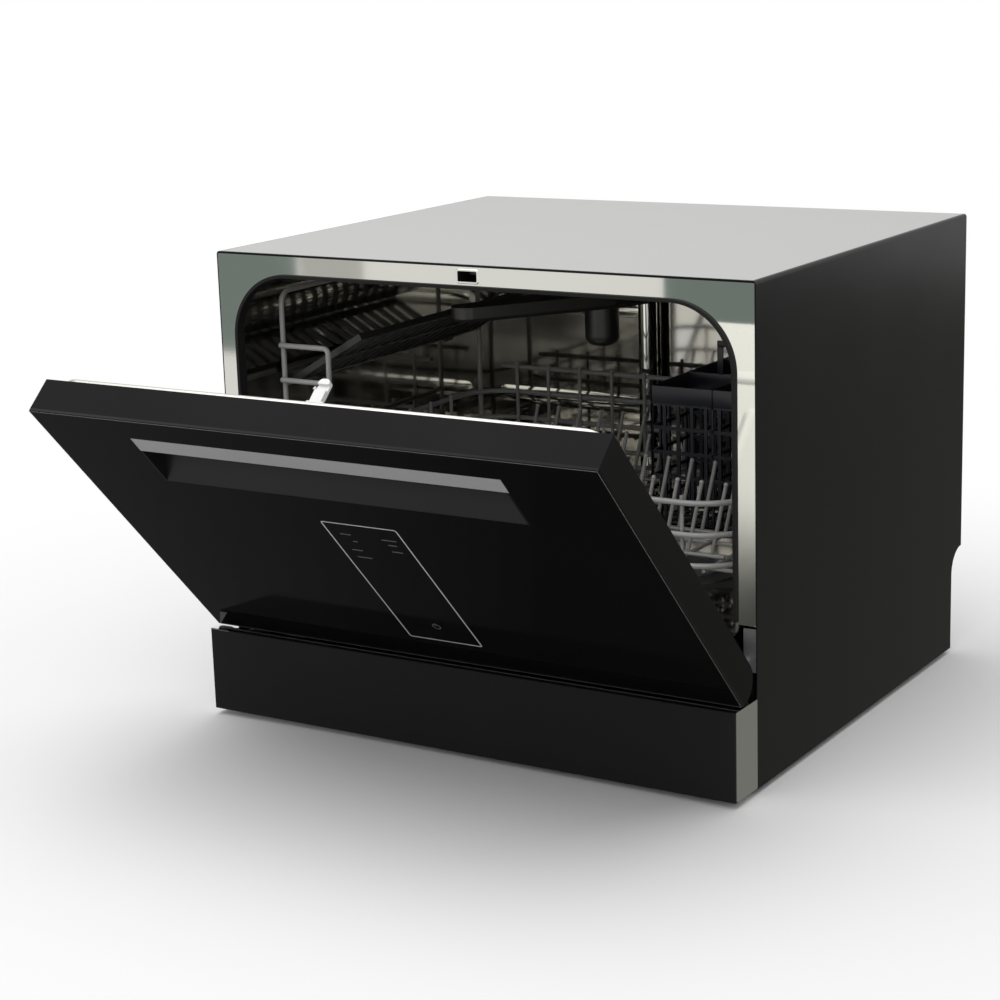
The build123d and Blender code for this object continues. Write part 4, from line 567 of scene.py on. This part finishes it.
# Studio cards: corner, length along and length up, from the middle of the frame's front
CARD_Z = 0.001
DOOR_CARD_X, DOOR_CARD_Y = -0.66, -0.5
DOOR_CARD_DEEP = (0, 0.475, 0)
STRIPS = 20
STRIP_WIDE = 0.034
STRIP_DARK, STRIP_GAIN = 0.03, 0.20
CARDS = [
    ("front_wall_card", (-2.2, -1.25, 0.0), (2.6, 0, 0), (0, 0, 1.2), (0.98, 0.96, 0.92)),
    ("left_wall_card", (-1.6, -1.2, 0.08), (0.51, 0, 0), (0, 0, 0.5), (0.22, 0.26, 0.24)),
    ("left_edge_card", (-1.09, -1.21, 0.0), (0.12, 0, 0), (0, 0, 0.6), (0.58, 0.57, 0.54)),
    ("right_wall_card", (-0.445, -1.2, 0.06), (0.43, 0, 0), (0, 0, 0.5), (0.21, 0.25, 0.23)),
    ("side_floor_card", (0.277, -0.2, CARD_Z), (2.4, 0, 0), (0, 3.2, 0), (0.225, 0.225, 0.205)),
    # The floor that the door front reflects gets darker from the left to the right. These strips and the
    # door floor card are painted shade: dark cards that only gloss sees, standing for the door's shadow on
    # the floor in that reflection.
    *(("door_fade_card_%d" % i, (DOOR_CARD_X + i * STRIP_WIDE, DOOR_CARD_Y, CARD_Z), (STRIP_WIDE, 0, 0),
       DOOR_CARD_DEEP, grey(STRIP_DARK + STRIP_GAIN * (1 - i / STRIPS))) for i in range(STRIPS)),
    ("door_floor_card", (0.02, DOOR_CARD_Y, CARD_Z), (0.58, 0, 0), DOOR_CARD_DEEP, grey(STRIP_DARK)),
    ("left_floor_card", (DOOR_CARD_X, -0.025, CARD_Z), (0.38, 0, 0), (0, 0.35, 0), grey(0.15)),
]


def seen_directly(tree):
    """1 for rays from the camera, from gloss and through clear things, 0 for light that spreads."""
    path = tree.nodes.new("ShaderNodeLightPath")
    first = tree.nodes.new("ShaderNodeMath")
    second = tree.nodes.new("ShaderNodeMath")
    first.operation = second.operation = "MAXIMUM"
    tree.links.new(path.outputs["Is Camera Ray"], first.inputs[0])
    tree.links.new(path.outputs["Is Glossy Ray"], first.inputs[1])
    tree.links.new(first.outputs[0], second.inputs[0])
    tree.links.new(path.outputs["Is Transmission Ray"], second.inputs[1])
    return second.outputs[0]


def stage_floor():
    """A pale floor that takes the shadow and fades to plain white away from the part."""
    mesh = bmesh.new()
    bmesh.ops.create_grid(mesh, x_segments=1, y_segments=1, size=FLOOR_HALF)
    floor = add_object("floor", mesh)
    material = bpy.data.materials.new("pale_floor")
    material.use_nodes = True
    tree = material.node_tree
    shader = tree.nodes["Principled BSDF"]
    shader.inputs["Base Color"].default_value = (*grey(FLOOR_LEVEL), 1)
    shader.inputs["Roughness"].default_value = FLOOR_ROUGHNESS
    shader.inputs["Specular IOR Level"].default_value = FLOOR_SPECULAR
    place = tree.nodes.new("ShaderNodeTexCoord")
    away = tree.nodes.new("ShaderNodeVectorMath")
    away.operation = "LENGTH"
    fade = tree.nodes.new("ShaderNodeMapRange")
    fade.interpolation_type = "SMOOTHSTEP"
    fade.inputs["From Min"].default_value = FADE_FROM
    fade.inputs["From Max"].default_value = FADE_TO
    plain = tree.nodes.new("ShaderNodeMath")
    plain.operation = "MULTIPLY"
    white = tree.nodes.new("ShaderNodeEmission")
    mix = tree.nodes.new("ShaderNodeMixShader")
    tree.links.new(place.outputs["Object"], away.inputs[0])
    tree.links.new(away.outputs["Value"], fade.inputs["Value"])
    tree.links.new(fade.outputs["Result"], plain.inputs[0])
    tree.links.new(seen_directly(tree), plain.inputs[1])
    tree.links.new(plain.outputs[0], mix.inputs["Fac"])
    tree.links.new(shader.outputs[0], mix.inputs[1])
    tree.links.new(white.outputs[0], mix.inputs[2])
    tree.links.new(mix.outputs[0], tree.nodes["Material Output"].inputs["Surface"])
    floor.data.materials.append(material)


def flag(name, corner, along, up, colour):
    """A studio card that only gloss sees, given by a corner and two sides."""
    mesh = bmesh.new()
    bmesh.ops.create_grid(mesh, x_segments=1, y_segments=1, size=0.5)
    bmesh.ops.translate(mesh, verts=mesh.verts, vec=(0.5, 0.5, 0))
    along, up = Vector(along), Vector(up)
    axes = Matrix((along, up, along.cross(up))).transposed().to_4x4()
    start = Matrix.Translation(Vector(corner) - Vector((0, FRAME_PLANE_Y * MM, 0)))
    bmesh.ops.transform(mesh, matrix=start @ axes, verts=mesh.verts)
    card = add_object(name, mesh)
    material = bpy.data.materials.new(name)
    material.use_nodes = True
    shader = material.node_tree.nodes["Principled BSDF"]
    shader.inputs["Base Color"].default_value = (0, 0, 0, 1)
    shader.inputs["Specular IOR Level"].default_value = 0.0
    shader.inputs["Emission Color"].default_value = (*colour, 1)
    shader.inputs["Emission Strength"].default_value = 1.0
    card.data.materials.append(material)
    card.visible_camera = card.visible_diffuse = card.visible_shadow = card.visible_transmission = False


def studio_world():
    """Soft white light from all round, on a plain white background."""
    world = bpy.data.worlds.new("studio")
    bpy.context.scene.world = world
    world.use_nodes = True
    tree = world.node_tree
    soft = tree.nodes["Background"]
    white = tree.nodes.new("ShaderNodeBackground")
    for node, strength in ((soft, WORLD_LIGHT), (white, 1.0)):
        node.inputs["Color"].default_value = (1, 1, 1, 1)
        node.inputs["Strength"].default_value = strength
    mix = tree.nodes.new("ShaderNodeMixShader")
    tree.links.new(seen_directly(tree), mix.inputs["Fac"])
    tree.links.new(soft.outputs[0], mix.inputs[1])
    tree.links.new(white.outputs[0], mix.inputs[2])
    tree.links.new(mix.outputs[0], tree.nodes["World Output"].inputs["Surface"])


def softbox(name, place, aim, size, power):
    """A square-edged lamp turned towards a point."""
    light = bpy.data.lights.new(name, "AREA")
    light.shape = "RECTANGLE"
    light.size, light.size_y = size
    light.energy = power
    lamp = bpy.data.objects.new(name, light)
    bpy.context.scene.collection.objects.link(lamp)
    lamp.location = place
    lamp.rotation_euler = (Vector(aim) - Vector(place)).to_track_quat("-Z", "Y").to_euler()


def photo_camera():
    """The camera of the photograph, from its turn, rise and roll in degrees."""
    turn, rise, roll = radians(CAMERA_TURN), radians(CAMERA_RISE), radians(CAMERA_ROLL)
    back = Vector((sin(turn) * cos(rise), -cos(turn) * cos(rise), sin(rise)))
    right = Vector((cos(turn), sin(turn), 0))
    up = back.cross(right)
    tilted_right = right * cos(roll) + up * sin(roll)
    tilted_up = up * cos(roll) - right * sin(roll)
    data = bpy.data.cameras.new("camera")
    data.lens = CAMERA_LENS
    data.sensor_width = SENSOR_WIDTH
    camera = bpy.data.objects.new("camera", data)
    bpy.context.scene.collection.objects.link(camera)
    axes = Matrix((tilted_right, tilted_up, back)).transposed().to_4x4()
    camera.matrix_world = Matrix.Translation(CAMERA_PLACE) @ axes
    bpy.context.scene.camera = camera


stage_floor()
studio_world()
softbox("overhead_softbox", (-0.3, -0.5, 2.6), (0, 0, 0.2), (3.0, 3.0), 55.0)
softbox("front_softbox", (0.9, -2.6, 1.3), (0, 0, 0.25), (1.6, 1.2), 6.0)
for card in CARDS:
    flag(*card)
photo_camera()
bpy.context.scene.view_settings.view_transform = "Standard"
